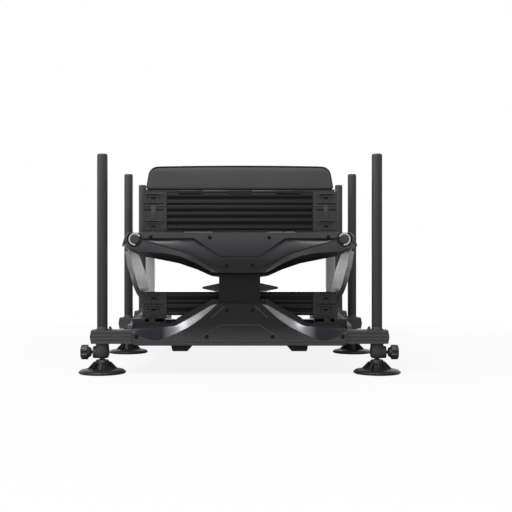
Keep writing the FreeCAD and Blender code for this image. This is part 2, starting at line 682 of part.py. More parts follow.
def frame_pads():
    """Rubber pads under the upper stack on the rear beam, and the pads under the base."""
    y0 = FRAME_REAR + BEAM_STEP + PAD_INSET
    y1 = BEAM_BACK - PAD_INSET
    z0, z1 = UPPER_BASE, UPPER_BASE + PAD_H
    pads = [box(-MID_PAD_HALF, MID_PAD_HALF, y0, y1, z0, z1)]
    pads += both_sides(box(PANEL_HALF - SIDE_PAD_W, PANEL_HALF, y0, y1, z0, z1))
    inner, outer = BASE_PAD_INNER, BASE_PAD_INNER + BASE_PAD_W
    under_beam = [(inner, LOWER_BEAM_BOTTOM), (outer, LOWER_BEAM_BOTTOM), (outer - 2, BASE_PAD_BOTTOM + 2),
                  (outer - 5, BASE_PAD_BOTTOM), (inner + BASE_PAD_W / 4, BASE_PAD_BOTTOM)]
    pads += both_sides(prism_xz(under_beam, y0, y1))
    under_rail = box(RAIL_INNER + PAD_INSET, SIDE_X - PAD_INSET, FRONT_BEAM_REAR - 30,
                     FRAME_FRONT - PAD_INSET, BASE_PAD_BOTTOM, RAIL_BOTTOM)
    return pads + both_sides(under_rail)


def frame_screws():
    screws = []
    y0 = FRAME_REAR + SCREW_SINK
    for x, z in UPPER_SCREWS + LOWER_SCREWS:
        head = along_y(y0, y0 + SCREW_HEAD_H, x, z, SCREW_HEAD_R)
        socket = along_y(y0 - 1, y0 + SCREW_HEAD_H / 2, x, z, HEX_R)
        screws += both_sides(head.cut(socket))
    return screws


def footplate():
    """Slotted deck with a rim and ribs below. Its ears meet the slide rails."""
    half = RAIL_INNER - DECK_SIDE_GAP
    z0 = DECK_TOP - DECK_H
    skin = box(-half, half, DECK_REAR, DECK_FRONT, z0, DECK_TOP)
    w = DECK_WALL
    hollow = box(-half + w, half - w, DECK_REAR + w, DECK_FRONT - w, z0 - 1, DECK_TOP - w)
    deck = skin.cut(hollow)
    ribs = []
    count = int((DECK_FRONT - DECK_REAR) / DECK_RIB_PITCH)
    step = (DECK_FRONT - DECK_REAR) / (count + 1)
    for i in range(count):
        y = DECK_REAR + step * (i + 1)
        ribs.append(box(-half, half, y - w / 2, y + w / 2, z0, DECK_TOP))
    ears = both_sides(box(half - 1, PLATE_RAIL_INNER, DECK_EAR_REAR, DECK_FRONT, z0, DECK_TOP))
    deck = joined([deck] + ribs + ears)
    slots = []
    for i in range(count + 1):
        y = DECK_REAR + step * (i + 0.5)
        for column in range(-2, 3):
            slots.append(slot(column * SLOT_PITCH, y))
    return cut(deck, slots)


def slot(x, y):
    half = (SLOT_L - SLOT_W) / 2
    middle = box(x - half, x + half, y - SLOT_W / 2, y + SLOT_W / 2, DECK_TOP - DECK_WALL - 1, DECK_TOP + 1)
    ends = [upright(x + s * half, y, DECK_TOP - DECK_WALL - 1, DECK_TOP + 1, SLOT_W / 2) for s in (-1, 1)]
    return joined([middle] + ends)


def footplate_rail():
    return box(PLATE_RAIL_INNER, PLATE_RAIL_OUTER, PLATE_RAIL_REAR, DECK_FRONT,
               PLATE_RAIL_BOTTOM, PLATE_RAIL_BOTTOM + PLATE_RAIL_H)


def catch_recess(base, rise):
    """Recess in a rear corner block for one sliding catch, with room for its travel."""
    c = CATCH_CLEAR
    y0 = STACK_REAR - 1
    y1 = STACK_REAR + CATCH_T + 0.2
    bar = box(CATCH_X - CATCH_BAR_W / 2 - c, CATCH_X + CATCH_BAR_W / 2 + c, y0, y1,
              base + rise - c, base + rise + CATCH_BAR_H + CATCH_TRAVEL + c)
    stem = box(CATCH_X - CATCH_STEM_W / 2 - c, CATCH_X + CATCH_STEM_W / 2 + c, y0, y1,
               base - CATCH_HOOK - c, base + rise)
    return joined([bar, stem])


def catch_slot(base):
    """Slot in a shelf for the stem of a base catch."""
    c = CATCH_CLEAR
    return box(CATCH_X - CATCH_STEM_W / 2 - c, CATCH_X + CATCH_STEM_W / 2 + c,
               STACK_REAR - c, STACK_REAR + CATCH_T + c, base - SHELF_T - 1, base + 1)


def catch(base, rise):
    y0 = STACK_REAR
    y1 = STACK_REAR + CATCH_T
    bar = box(CATCH_X - CATCH_BAR_W / 2, CATCH_X + CATCH_BAR_W / 2, y0, y1,
              base + rise, base + rise + CATCH_BAR_H)
    stem = box(CATCH_X - CATCH_STEM_W / 2, CATCH_X + CATCH_STEM_W / 2, y0, y1,
               base - CATCH_HOOK, base + rise)
    return joined([bar, stem])


def corner_blocks(z0, z1):
    """Four corner covers of one tray: two wide ones at the rear, two narrow ones at the front."""
    face = box(PANEL_HALF, STACK_HALF, STACK_REAR, CASE_REAR, z0, z1)
    wrap = box(CASE_HALF, STACK_HALF, STACK_REAR, STACK_REAR + BLOCK_WRAP, z0, z1)
    rear = joined([face, wrap])
    rear = rear.makeChamfer(1.5, [edge for edge in rear.Edges if on_outer_corner(edge, STACK_REAR)])
    face = box(STACK_HALF - FRONT_BLOCK_W, STACK_HALF, CASE_FRONT, STACK_FRONT, z0, z1)
    wrap = box(CASE_HALF, STACK_HALF, STACK_FRONT - BLOCK_WRAP, STACK_FRONT, z0, z1)
    front = joined([face, wrap])
    front = front.makeChamfer(1.5, [edge for edge in front.Edges if on_outer_corner(edge, STACK_FRONT)])
    return rear, front


def on_outer_corner(edge, y):
    place = edge.CenterOfMass
    return abs(place.x - STACK_HALF) < 0.01 and abs(place.y - y) < 0.01


def block_group(levels, base, recesses):
    """Corner blocks of the trays of one stack, from the lowest level up."""
    pieces = []
    cutters = [catch_recess(z, rise) for z, rise in recesses]
    for z0, z1 in zip([base] + levels[1:-1], levels[1:]):
        rear, front = corner_blocks(z0, z1)
        pieces += both_sides(cut(rear, cutters)) + both_sides(front)
    return pieces


def ridges(z0, z1):
    """Horizontal ridges of the extruded rear wall between two heights."""
    count = int((z1 - z0) / RIDGE_PITCH)
    pitch = (z1 - z0) / count
    rows = []
    for i in range(count):
        z = z0 + pitch * (i + 0.5)
        rows.append(box(-PANEL_HALF + COLUMN_GAP, PANEL_HALF - COLUMN_GAP, CASE_REAR - RIDGE_T,
                        CASE_REAR + 0.5, z - RIDGE_H / 2, z + RIDGE_H / 2))
    return rows


def case_box(z0, z1, floors):
    """Case with a ridged rear wall and a full-width opening to the front for each drawer."""
    w = CASE_WALL
    shell = box(-CASE_HALF, CASE_HALF, CASE_REAR, CASE_FRONT, z0, z1)
    rooms = []
    for low, high in zip(floors[:-1], floors[1:]):
        rooms.append(box(-CASE_HALF + w, CASE_HALF - w, CASE_REAR + w, CASE_FRONT + 1,
                         low + w / 2, high - w / 2))
    return joined([cut(shell, rooms)] + ridges(z0, z1))


def drawer(z0, z1):
    """Open-topped drawer with a grip in its front panel, for the room between two heights."""
    w = DRAWER_WALL
    low, high = z0 + DRAWER_GAP, z1 - DRAWER_GAP
    rear = CASE_REAR + CASE_WALL + DRAWER_GAP
    body = box(-DRAWER_HALF, DRAWER_HALF, rear, CASE_FRONT, low, high - DRAWER_GAP)
    hollow = box(-DRAWER_HALF + w, DRAWER_HALF - w, rear + w, CASE_FRONT - w, low + w, high + 1)
    panel = box(-DRAWER_HALF, DRAWER_HALF, CASE_FRONT, STACK_FRONT, low, high)
    whole = joined([body.cut(hollow), panel])
    middle = (low + high) / 2
    height = min(GRIP_H, (high - low) / 2)
    grip = box(-GRIP_W / 2, GRIP_W / 2, STACK_FRONT - GRIP_DEEP, STACK_FRONT + 1,
               middle - height / 2, middle + height / 2)
    return whole.cut(grip)


def upper_tray():
    """Open tray under the lid, with two dividers and the fixed knuckles of the hinge."""
    w = CASE_WALL
    shell = box(-CASE_HALF, CASE_HALF, CASE_REAR, STACK_FRONT, UPPER_SEAM, TRAY_TOP)
    hollow = box(-CASE_HALF + w, CASE_HALF - w, CASE_REAR + w, CASE_FRONT - w,
                 UPPER_SEAM + w, TRAY_TOP + 1)
    corners = both_sides(box(STACK_HALF - FRONT_BLOCK_W, CASE_HALF + 1, CASE_FRONT, STACK_FRONT + 1,
                             UPPER_SEAM - 1, TRAY_TOP + 1))
    dividers = both_sides(box(DIVIDER_X - w / 2, DIVIDER_X + w / 2, CASE_REAR + 1, CASE_FRONT + 1,
                              UPPER_SEAM + 1, TRAY_TOP - LID_T))
    lid_knuckles = [knuckle(i, KNUCKLE_R + KNUCKLE_CLEAR, KNUCKLE_CLEAR) for i in range(1, KNUCKLES, 2)]
    tray = joined([cut(shell, [hollow] + corners)] + dividers + ridges(UPPER_SEAM, TRAY_TOP - 7))
    tray = cut(tray, lid_knuckles)
    fixed = []
    for i in range(0, KNUCKLES, 2):
        x0, x1 = knuckle_span(i)
        fixed.append(box(x0, x1, HINGE_Y - KNUCKLE_R + HINGE_STAND_OFF, CASE_REAR + 1, TRAY_TOP - 7, TRAY_TOP))
        fixed.append(knuckle(i, KNUCKLE_R, 0))
    tray = joined([tray] + fixed)
    return tray.cut(hinge_bore())


def knuckle_span(index):
    start = -KNUCKLES * KNUCKLE_L / 2 + index * KNUCKLE_L
    return start, start + KNUCKLE_L


def knuckle(index, radius, extra):
    x0, x1 = knuckle_span(index)
    return along_x(x0 - extra, x1 + extra, HINGE_Y, HINGE_Z, radius)


def hinge_bore():
    reach = KNUCKLES * KNUCKLE_L / 2 + 1
    return along_x(-reach, reach, HINGE_Y, HINGE_Z, HINGE_PIN_R + HINGE_CLEAR)


def lid_hinge_pin():
    reach = KNUCKLES * KNUCKLE_L / 2
    return along_x(-reach, reach, HINGE_Y, HINGE_Z, HINGE_PIN_R)


def seat_lid():
    """Lid under the seat cushion, with the moving knuckles of the hinge."""
    z0 = TRAY_TOP + LID_GAP
    lid = box(-CASE_HALF, CASE_HALF, CASE_REAR, STACK_FRONT, z0, LID_TOP)
    fixed = []
    for i in range(0, KNUCKLES, 2):
        fixed.append(knuckle(i, KNUCKLE_R + KNUCKLE_CLEAR, KNUCKLE_CLEAR))
        x0, x1 = knuckle_span(i)
        fixed.append(box(x0 - KNUCKLE_CLEAR, x1 + KNUCKLE_CLEAR, HINGE_Y, CASE_REAR + 1.5, z0 - 1, HINGE_Z))
    lid = cut(lid, fixed)
    moving = []
    for i in range(1, KNUCKLES, 2):
        x0, x1 = knuckle_span(i)
        moving.append(knuckle(i, KNUCKLE_R, -COLUMN_GAP))
        moving.append(box(x0 + COLUMN_GAP, x1 - COLUMN_GAP, HINGE_Y, CASE_REAR + 1, HINGE_Z, HINGE_Z + 3))
    return joined([lid] + moving).cut(hinge_bore())


def cushion_section(y, top, half):
    """Cross-section of the cushion at one depth: drawn-in sides, rounded shoulders and a crown."""
    z0 = LID_TOP + CUSHION_GAP
    r = min(CUSHION_R, (top - z0) * 0.6)
    shoulder = top - r
    inner = half - CUSHION_DRAW_IN
    bulge = half - CUSHION_DRAW_IN / 3
    corner_x = inner - r * (1 - math.sqrt(0.5))
    corner_z = shoulder + r * math.sqrt(0.5)
    crown = top + 2.0
    spots = [
        ((-half, y, z0), None), ((half, y, z0), None),
        ((inner, y, shoulder), (bulge, y, (z0 + shoulder) / 2)),
        ((inner - r, y, top), (corner_x, y, corner_z)),
        ((-inner + r, y, top), (0, y, crown)),
        ((-inner, y, shoulder), (-corner_x, y, corner_z)),
        ((-half, y, z0), (-bulge, y, (z0 + shoulder) / 2))]
    edges = []
    for (before, _), (now, middle) in zip(spots[:-1], spots[1:]):
        if middle is None:
            edges.append(Part.makeLine(Vector(*before), Vector(*now)))
        else:
            edges.append(Part.Arc(Vector(*before), Vector(*middle), Vector(*now)).toShape())
    return Part.Wire(edges)


def seat_cushion():
    """Padded seat with a raised rear lip."""
    rear = STACK_REAR + 1.5
    front = STACK_FRONT + 1.0
    lip, seat = SEAT_LIP_TOP - 2.0, SEAT_TOP - 2.0
    stations = [
        (rear, lip - 14, CUSHION_HALF - 3), (rear + 4, lip - 4, CUSHION_HALF - 1),
        (rear + 14, lip, CUSHION_HALF), (rear + 42, lip - 1, CUSHION_HALF),
        (rear + 72, lip - 9, CUSHION_HALF), (rear + 98, seat, CUSHION_HALF),
        (rear + 180, seat - 1, CUSHION_HALF), (front - 60, seat, CUSHION_HALF),
        (front - 22, seat - 3, CUSHION_HALF), (front - 6, seat - 11, CUSHION_HALF - 1),
        (front, seat - 20, CUSHION_HALF - 3)]
    sections = [cushion_section(y, top, half) for y, top, half in stations]
    return Part.makeLoft(sections, True, True)


def lower_cover():
    """Flat cover on the lower stack, with cut front corners and a moulded hump at its far edge."""
    z0, z1 = LOWER_TOP, LOWER_TOP + LOWER_COVER_T
    plate = box(-STACK_HALF, STACK_HALF, STACK_REAR, STACK_FRONT, z0, z1)
    corner = [(STACK_HALF + 1, STACK_FRONT - 20), (STACK_HALF + 1, STACK_FRONT + 1),
              (STACK_HALF - 20, STACK_FRONT + 1)]
    face = Part.Face(wire_through(corner, lambda x, y: Vector(x, y, z0 - 1)))
    plate = cut(plate, both_sides(face.extrude(Vector(0, 0, LOWER_COVER_T + 2))))
    hump = prism_xz([
        (-HUMP_HALF, z1), (HUMP_HALF, z1), (HUMP_HALF, z1 + 3), (HUMP_TOP_HALF, z1 + HUMP_H),
        (-HUMP_TOP_HALF, z1 + HUMP_H), (-HUMP_HALF, z1 + 3)], STACK_FRONT - HUMP_W, STACK_FRONT)
    return joined([plate, hump])


def build():
    parts = {}
    for name, side, y in LEG_PLACES:
        spot = Vector(side * LEG_X, y, 0)
        parts["leg_" + name] = [piece.translated(spot) for piece in leg()]
        parts["ball_stud_" + name] = [ball_stud().translated(spot)]
        parts["foot_" + name] = [foot().translated(spot)]
        parts["knob_" + name] = [on_side(piece, side).translated(spot) for piece in knob()]
    box_clamps = []
    plate_clamps = []
    for name, side, y in LEG_PLACES:
        group = plate_clamps if name.startswith("plate") else box_clamps
        group.append(on_side(clamp(), side).translated(Vector(side * LEG_X, y, 0)))
    parts["box_leg_clamps"] = box_clamps
    parts["footplate_leg_clamps"] = plate_clamps
    parts["rear_leg_bar"] = through_bar(REAR_LEG_Y)
    parts["front_leg_arms"] = arm_pair(SIDE_X, FRONT_LEG_Y)
    parts["footplate_leg_arms"] = arm_pair(PLATE_RAIL_OUTER, PLATE_LEG_Y)
    parts["rear_upper_beam"] = [rear_upper_beam()]
    parts["rear_lower_beam"] = [rear_lower_beam()]
    parts["rear_column"] = [rear_column()]
    parts["front_upper_beam"] = [front_upper_beam()]
    parts["front_lower_beam"] = [front_lower_beam()]
    parts["upper_side_rails"] = both_sides(upper_side_rail())
    parts["lower_side_rails"] = both_sides(lower_side_rail())
    parts["side_plate_right"] = [side_plate()]
    parts["side_plate_left"] = [flipped(side_plate())]
    parts["corner_posts"] = both_sides(corner_post())
    parts["corner_trims"] = both_sides(corner_trim())
    parts["frame_pads"] = frame_pads()
    parts["frame_screws"] = frame_screws()
    parts["footplate"] = [footplate()]
    parts["footplate_rails"] = both_sides(footplate_rail())
    upper_levels = [UPPER_PANEL, UPPER_SEAM, TRAY_TOP]
    lower_levels = [LOWER_PANEL, LOWER_SEAM, LOWER_TOP]
    upper_catches = [(UPPER_BASE, UPPER_CATCH_RISE), (UPPER_SEAM, SEAM_CATCH_RISE)]
    lower_catches = [(LOWER_BASE, LOWER_CATCH_RISE), (LOWER_SEAM, SEAM_CATCH_RISE)]
    parts["upper_corner_blocks"] = block_group(upper_levels, UPPER_BASE, upper_catches)
    parts["lower_corner_blocks"] = block_group(lower_levels, LOWER_BASE, lower_catches)
    parts["upper_base_catches"] = both_sides(catch(*upper_catches[0]))
    parts["tray_catches"] = both_sides(catch(*upper_catches[1]))
    parts["lower_base_catches"] = both_sides(catch(*lower_catches[0]))
    parts["lower_seam_catches"] = both_sides(catch(*lower_catches[1]))
    parts["drawer_case"] = [case_box(UPPER_PANEL, UPPER_SEAM, [UPPER_PANEL, UPPER_SEAM])]
    parts["deep_drawer"] = [drawer(UPPER_PANEL, UPPER_SEAM)]
    parts["lower_case"] = [case_box(LOWER_PANEL, LOWER_TOP, [LOWER_PANEL, LOWER_SEAM, LOWER_TOP])]
    parts["lower_drawer_bottom"] = [drawer(LOWER_PANEL, LOWER_SEAM)]
    parts["lower_drawer_top"] = [drawer(LOWER_SEAM, LOWER_TOP)]
    parts["lower_cover"] = [lower_cover()]
    parts["upper_tray"] = [upper_tray()]
    parts["lid_hinge_pin"] = [lid_hinge_pin()]
    parts["seat_lid"] = [seat_lid()]
    parts["seat_cushion"] = [seat_cushion()]
    return parts


def main():
    os.makedirs("parts", exist_ok=True)
    for name, solids in build().items():
        shape = solids[0] if len(solids) == 1 else Part.makeCompound(solids)
        shape.exportStep("parts/" + name + ".step")
        print(name, len(shape.Solids), "solids", "valid" if shape.isValid() else "NOT VALID")


main()
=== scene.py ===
import json
import math

import bmesh
import bpy
from mathutils import Matrix, Vector


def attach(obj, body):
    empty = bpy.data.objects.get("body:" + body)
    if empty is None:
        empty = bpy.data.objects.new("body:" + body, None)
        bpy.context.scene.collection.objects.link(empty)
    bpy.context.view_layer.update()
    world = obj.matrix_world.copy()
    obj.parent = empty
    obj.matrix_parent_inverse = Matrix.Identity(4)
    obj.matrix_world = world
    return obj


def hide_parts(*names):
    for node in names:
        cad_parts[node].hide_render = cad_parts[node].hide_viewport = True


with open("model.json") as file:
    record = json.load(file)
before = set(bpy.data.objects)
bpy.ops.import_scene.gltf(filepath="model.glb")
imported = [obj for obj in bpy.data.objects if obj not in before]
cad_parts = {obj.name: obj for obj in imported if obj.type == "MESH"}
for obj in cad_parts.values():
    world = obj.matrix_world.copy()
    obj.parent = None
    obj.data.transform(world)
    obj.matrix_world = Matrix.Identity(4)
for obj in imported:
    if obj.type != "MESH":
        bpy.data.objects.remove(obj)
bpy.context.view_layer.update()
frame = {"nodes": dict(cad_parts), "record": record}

# Fishing seat box. Lengths of the pieces below are in millimetres, and each piece is scaled to metres
# as it is finished. X runs across the seat, Y from the rear to the front and Z up.
MM = 0.001

# Camera behind the box, with its lens in millimetres and its shift in shares of the sensor
EYE = (8.0, -2431.5, 262.0)
LENS = 59.8
SENSOR = 36.0
SHIFT_RIGHT = 0.0254
SHIFT_UP = 0.0137
VIEW_END = 100

# Lamps in metres and watts, as (name, place, aim, size, power)
LAMPS = [
    ("white_wall", (0, 4.5, 0.9), (0, 0, 0.4), (9, 3.4), 95),
    ("top_softbox", (-0.5, -1.3, 2.3), (0, -0.3, 0.3), (2.4, 1.4), 42),
    ("side_softbox", (-2.4, -1.6, 0.9), (0, -0.3, 0.3), (0.8, 1.6), 10)]

# Strength of the white surroundings on the object, where the camera sees them at 1
FILL = 0.36

# Floor: its glow near the object, and the distances in metres over which that rises to 1
FLOOR_HALF = 9000
FLOOR_GLOW = 0.86
FLOOR_RISE = (0.5, 1.6)

# Angles in degrees above which an edge stays sharp, on hard and on soft pieces, or gets a bevel
HARD_ANGLE = 32.0
SOFT_ANGLE = 80.0
BEVEL_ANGLE = 38.0

# CAD nodes: rounding of their edges, and the distance in metres within which points are joined
NODE_ROUNDING = 0.5
WELD_REACH = 0.00001

# Both rear beams: rear face, open inner side and screw holes
FACE_Y = -429.5
INNER_Y = -381.5
SCREW_R = 4.7
SCREW_DEEP = 5
CUTTER_PROUD = 6

# Heights along the rear upper beam, as (distance from the middle, height)
UPPER_TOP = [(0, 334), (262, 334), (271, 324), (276.6, 306)]
UPPER_GROOVE = [(0, 277.5), (46.3, 277.5), (107.8, 320.3), (227, 319.7), (262, 326), (276.6, 304.8)]
UPPER_SCOOP = [
    (0, 244.5), (46.4, 244.8), (63.5, 247.2), (84.7, 261), (113.6, 279.4), (144.2, 290),
    (178.8, 300.5), (227, 317.4), (240, 319), (262, 314), (276.6, 304)]
UPPER_BAND = [
    (0, 238.6), (46, 238.6), (63.6, 239.5), (77.1, 246.8), (102, 261), (140.4, 277.5), (178.9, 285),
    (236.5, 288), (276.6, 303)]
UPPER_UNDER = [
    (0, 237), (48.9, 237), (49.3, 228.5), (67.5, 231), (102, 246.7), (144.3, 261.1), (202, 272.6),
    (236.5, 279), (276.6, 301.5)]
UPPER_STATIONS = [
    0, 24, 46.3, 48.9, 49.3, 56, 64, 71, 78, 85, 93, 102, 107.8, 114, 124, 134, 144, 155, 167, 179,
    190, 202, 214, 222, 227, 232, 240, 250, 262, 271, 276.6]

# Least heights left between the lines of the upper beam's section
GROOVE_ROOM = 1.6
SCOOP_ROOM = 1.6
BAND_ROOM = 1.2
UNDER_ROOM = 0.8

# Upper beam's section: rounding of its top edge as (depth, height), half heights of the groove's
# mouth and floor, and the groove's depth, which runs out near the ends of the beam
TOP_EDGE = (2.2, 1.2)
MOUTH_HALF = 0.9
FLOOR_HALF_H = 0.5
GROOVE_DEEP = 2.5
GROOVE_RUNS_OUT = (240, 230)

# Scooped wing under the groove: its depth, the distances over which it sets in and runs out, and the
# shares of its height where it has points
WING_DEEP = 8.0
WING_SETS_IN = (46, 96)
WING_RUNS_OUT = (250, 226)
SCOOP_SHARES = (0.1, 0.25, 0.45, 0.65, 0.85)

# Lip under the wing, and how far in the underside starts
LIP = 2.2
LIP_SETS_IN = (40, 70)
LIP_TOP = 0.6
LIP_FOOT = 0.3
LIP_H = 0.6
UNDER_DEEP = 26

# Screws on the upper beam, as (distance from the middle, height), and the round trims near its ends
UPPER_SCREWS = [(209, 323), (70, 321.5), (30.5, 256)]
TRIM_X = 247.0
TRIM_Z = 318.0
TRIM_POCKET_R = 18.5
TRIM_POCKET_DEEP = 11
TRIM_CORE_R = 10.8
TRIM_CORE_Y = (FACE_Y + 1.5, FACE_Y + 12)

# Shelf in front of the upper beam, with an opening for each upper catch
SHELF_HALF = 237.5
SHELF_REAR_Y = INNER_Y - 4
SHELF_FRONT_Y = -325.0
SHELF_Z = (326, 334)
CATCH_X = (204, 217)
CATCH_Y = (-356.5, -351.5)

# Painted highlights on edges of the upper beam, as light bars ((x, z, x, z), y)
UPPER_EDGE_HIGHLIGHTS = [((46.4, 244, 84.7, 260.2), FACE_Y - 0.6), ((84.7, 260.2, 113.6, 278.6), FACE_Y - 0.9)]
UPPER_HIGHLIGHT_W = 0.7
HIGHLIGHT_PROUD = 0.35

# Heights along the rear lower beam, as (distance from the middle, height)
LOWER_RIM = [
    (0, 167), (48.9, 167), (49.3, 175), (66, 175), (148, 131), (156, 119), (240, 114), (254.5, 102)]
LOWER_STRIP_TOP = [
    (0, 164.8), (54, 164.8), (65.6, 162.2), (148, 115), (159.7, 112.3), (246, 106.5), (254.5, 100)]
LOWER_STRIP_END = [
    (0, 164), (54, 164), (90.5, 131.5), (121.2, 110.4), (148, 96.9), (171.2, 87.3), (192.3, 79.6),
    (207.7, 79.6), (238.4, 91.1), (254.5, 98)]
LOWER_FOOT = [(0, 67), (246, 67), (254.5, 75)]
LOWER_STATIONS = [
    0, 24, 48.9, 49.3, 54, 60, 65.6, 75, 83, 90.5, 100, 110, 121, 130, 139, 148, 156, 163, 171,
    181, 192, 200, 207.7, 218, 228, 238.4, 246, 251, 254.5]

# Least heights left between the lines of the lower beam's section
STRIP_TOP_ROOM = 0.8
STRIP_END_ROOM = 0.4

# Rim of the lower beam: its set-back in the middle and beyond it, and the rounding of its edge and
# the step to the strip, each as (depth, height)
RIM_MIDDLE = 1.5
RIM_SET_BACK = 17.0
RIM_SETS_IN = (48, 60)
RIM_EDGE = (1.5, 0.5)
STRIP_STEP = (0.6, 0.2)

# Bevelled strip under the rim: the set-back of its top, the share of it that is lost towards the
# ends of the beam, and the shares of its height where it has points
STRIP_SET_BACK = 15.5
STRIP_SETS_IN = (50, 62)
STRIP_LOSS = 0.7
STRIP_EASES = (128, 152)
STRIP_SHARES = (0.15, 0.35, 0.55, 0.75, 0.9)

# Faces with the strip's material: between these distances, no deeper, and this close to its lines
STRIP_X = (52, 253)
STRIP_DEEPEST_Y = FACE_Y + 25
STRIP_REACH = 0.1

# Skirting at the foot of the lower beam, as (set-back, height over the foot)
SKIRTING = [(0, 8.5), (0.8, 8), (0.8, 7), (0.2, 6.5), (0.2, 2), (2, 0)]

# Screws on the lower beam, its grooves as ((x, z, x, z), width) and the painted highlights on its edges
LOWER_SCREWS = [(243, 88), (77.6, 88), (30, 150)]
LOWER_GROOVES = [((0, 117.5, 47.3, 117.5), 1.6), ((47.3, 117.5, 108, 79), 1.6), ((35, 162, 67, 132.5), 1.4)]
LOWER_EDGE_HIGHLIGHTS = [
    ((0, 116.2, 46.8, 116.2), FACE_Y), ((46.8, 116.2, 104, 79.9), FACE_Y),
    ((36, 160.6, 66.4, 133.1), FACE_Y)]
LOWER_HIGHLIGHT_W = 0.9

# Stays in front of the lower beam, which reach under the lower stack round its catches
STAY_REAR_Y = INNER_Y - 8
STAY_WALL_X = (180, 258)
STAY_WALL_Z = (103, 128)
STAY_INNER_X = (180, CATCH_X[0])
STAY_OUTER_X = (CATCH_X[1], 228)
STAY_Z = (120, 128)
STAY_ROUNDING = 1.0

# Rear faces of the stacks, and the bands of their ribbed panels as (low, high)
STACK_REAR_Y = -355.5
PANEL_HALF = 177.0
PANEL_PROUD = 1.5
PANEL_ROUNDING = 0.8
UPPER_BANDS = [(344.5, 352.5), (362, 370), (379, 385.5), (394, 403.5), (407, 415), (424, 433)]
LOWER_BANDS = [(136, 143), (151, 162), (165.5, 172), (180, 188)]

# Thin plate under the upper case
UNDERSIDE_Y = (STACK_REAR_Y + 2.5, -4)
UNDERSIDE_Z = (341.6, 342.3)

# Lines and slots on the corner blocks, as (inner, outer, low, high), which start a hair off the block: the
# lines lighter as a painted highlight, the slots near-black as painted shade
UPPER_BLOCK_LINES = [
    (184, 232, 430, 432), (184, 230, 424.5, 426), (181, 236, 401, 403.5), (205, 216, 367, 401),
    (181, 236, 364.5, 366.5), (187, 229, 359, 360.5), (181, 236, 343.5, 345)]
UPPER_SLOT_SHADES = [
    (205, 216, 417.5, 422.5), (187, 234, 405.2, 408), (187, 204, 390.5, 394), (217, 234, 390.5, 394),
    (205, 216, 349.5, 354)]
LOWER_BLOCK_LINES = [
    (184, 232, 185, 186.5), (184, 230, 180.5, 182), (181, 236, 157, 158.5), (187, 229, 152.5, 154),
    (181, 236, 136, 137.5)]
LOWER_SLOT_SHADES = [(205, 216, 173.5, 178), (187, 234, 160.5, 162.8), (205, 216, 145, 149.5)]
LINE_PROUD = 1.2
SHADE_PROUD = 0.3
BAR_ROUNDING = 0.25
SKIN_GAP = 0.03

# Seat cushion, with its sections as (distance from an end, height of the top, half width)
CUSHION_BASE_Z = 442.7
CUSHION_REAR_Y = -354.0
CUSHION_FRONT_Y = 6.5
CUSHION_FROM_REAR = [
    (0, 486, 227), (3, 495, 229), (9, 499.5, 230), (20, 500.5, 230), (42, 499.5, 230),
    (60, 495, 230), (76, 488, 230), (98, 482.5, 230), (140, 481, 230), (190, 480.5, 230),
    (240, 481, 230)]
CUSHION_FROM_FRONT = [(60, 481.5, 230), (30, 480, 230), (12, 476, 229), (4, 471, 228), (0, 463, 227)]
CUSHION_BOTTOM_EDGE = 3
CUSHION_DRAWN_IN = 5.0
CUSHION_SHOULDER = 24.0
SHOULDER_SHARE = 0.6
SHOULDER_TURNS = (18, 36, 54, 72, 90)
CUSHION_CROWN = 2.0
CUSHION_SHARES = (0.3, 0.6, 1.0)

# Piping round the rear face of the cushion
PIPING_Y = CUSHION_REAR_Y + 3.5
PIPING_TOP_Z = 496.5
PIPING_HALF = 227.4
PIPING_R = 1.2
PIPING_SIDES = 8
PIPING_JOIN = 0.001


def grey(level, blue=0.0):
    """Linear colour of an even screen tone from 0 to 255, with a tint towards blue."""
    tones = [level, level, level * (1 + blue)]
    linear = [((t / 255 + 0.055) / 1.055) ** 2.4 if t > 10.3 else t / 255 / 12.92 for t in tones]
    return (*linear, 1.0)


class Socket:
    """An output of a shader tree that takes part in Python's sums."""

    def __init__(self, tree, link):
        self.tree = tree
        self.link = link

    def __add__(self, other):
        return self.tree.sum("ADD", self, other)

    def __radd__(self, other):
        return self.tree.sum("ADD", other, self)

    def __sub__(self, other):
        return self.tree.sum("SUBTRACT", self, other)

    def __rsub__(self, other):
        return self.tree.sum("SUBTRACT", other, self)

    def __mul__(self, other):
        return self.tree.sum("MULTIPLY", self, other)

    def __rmul__(self, other):
        return self.tree.sum("MULTIPLY", other, self)


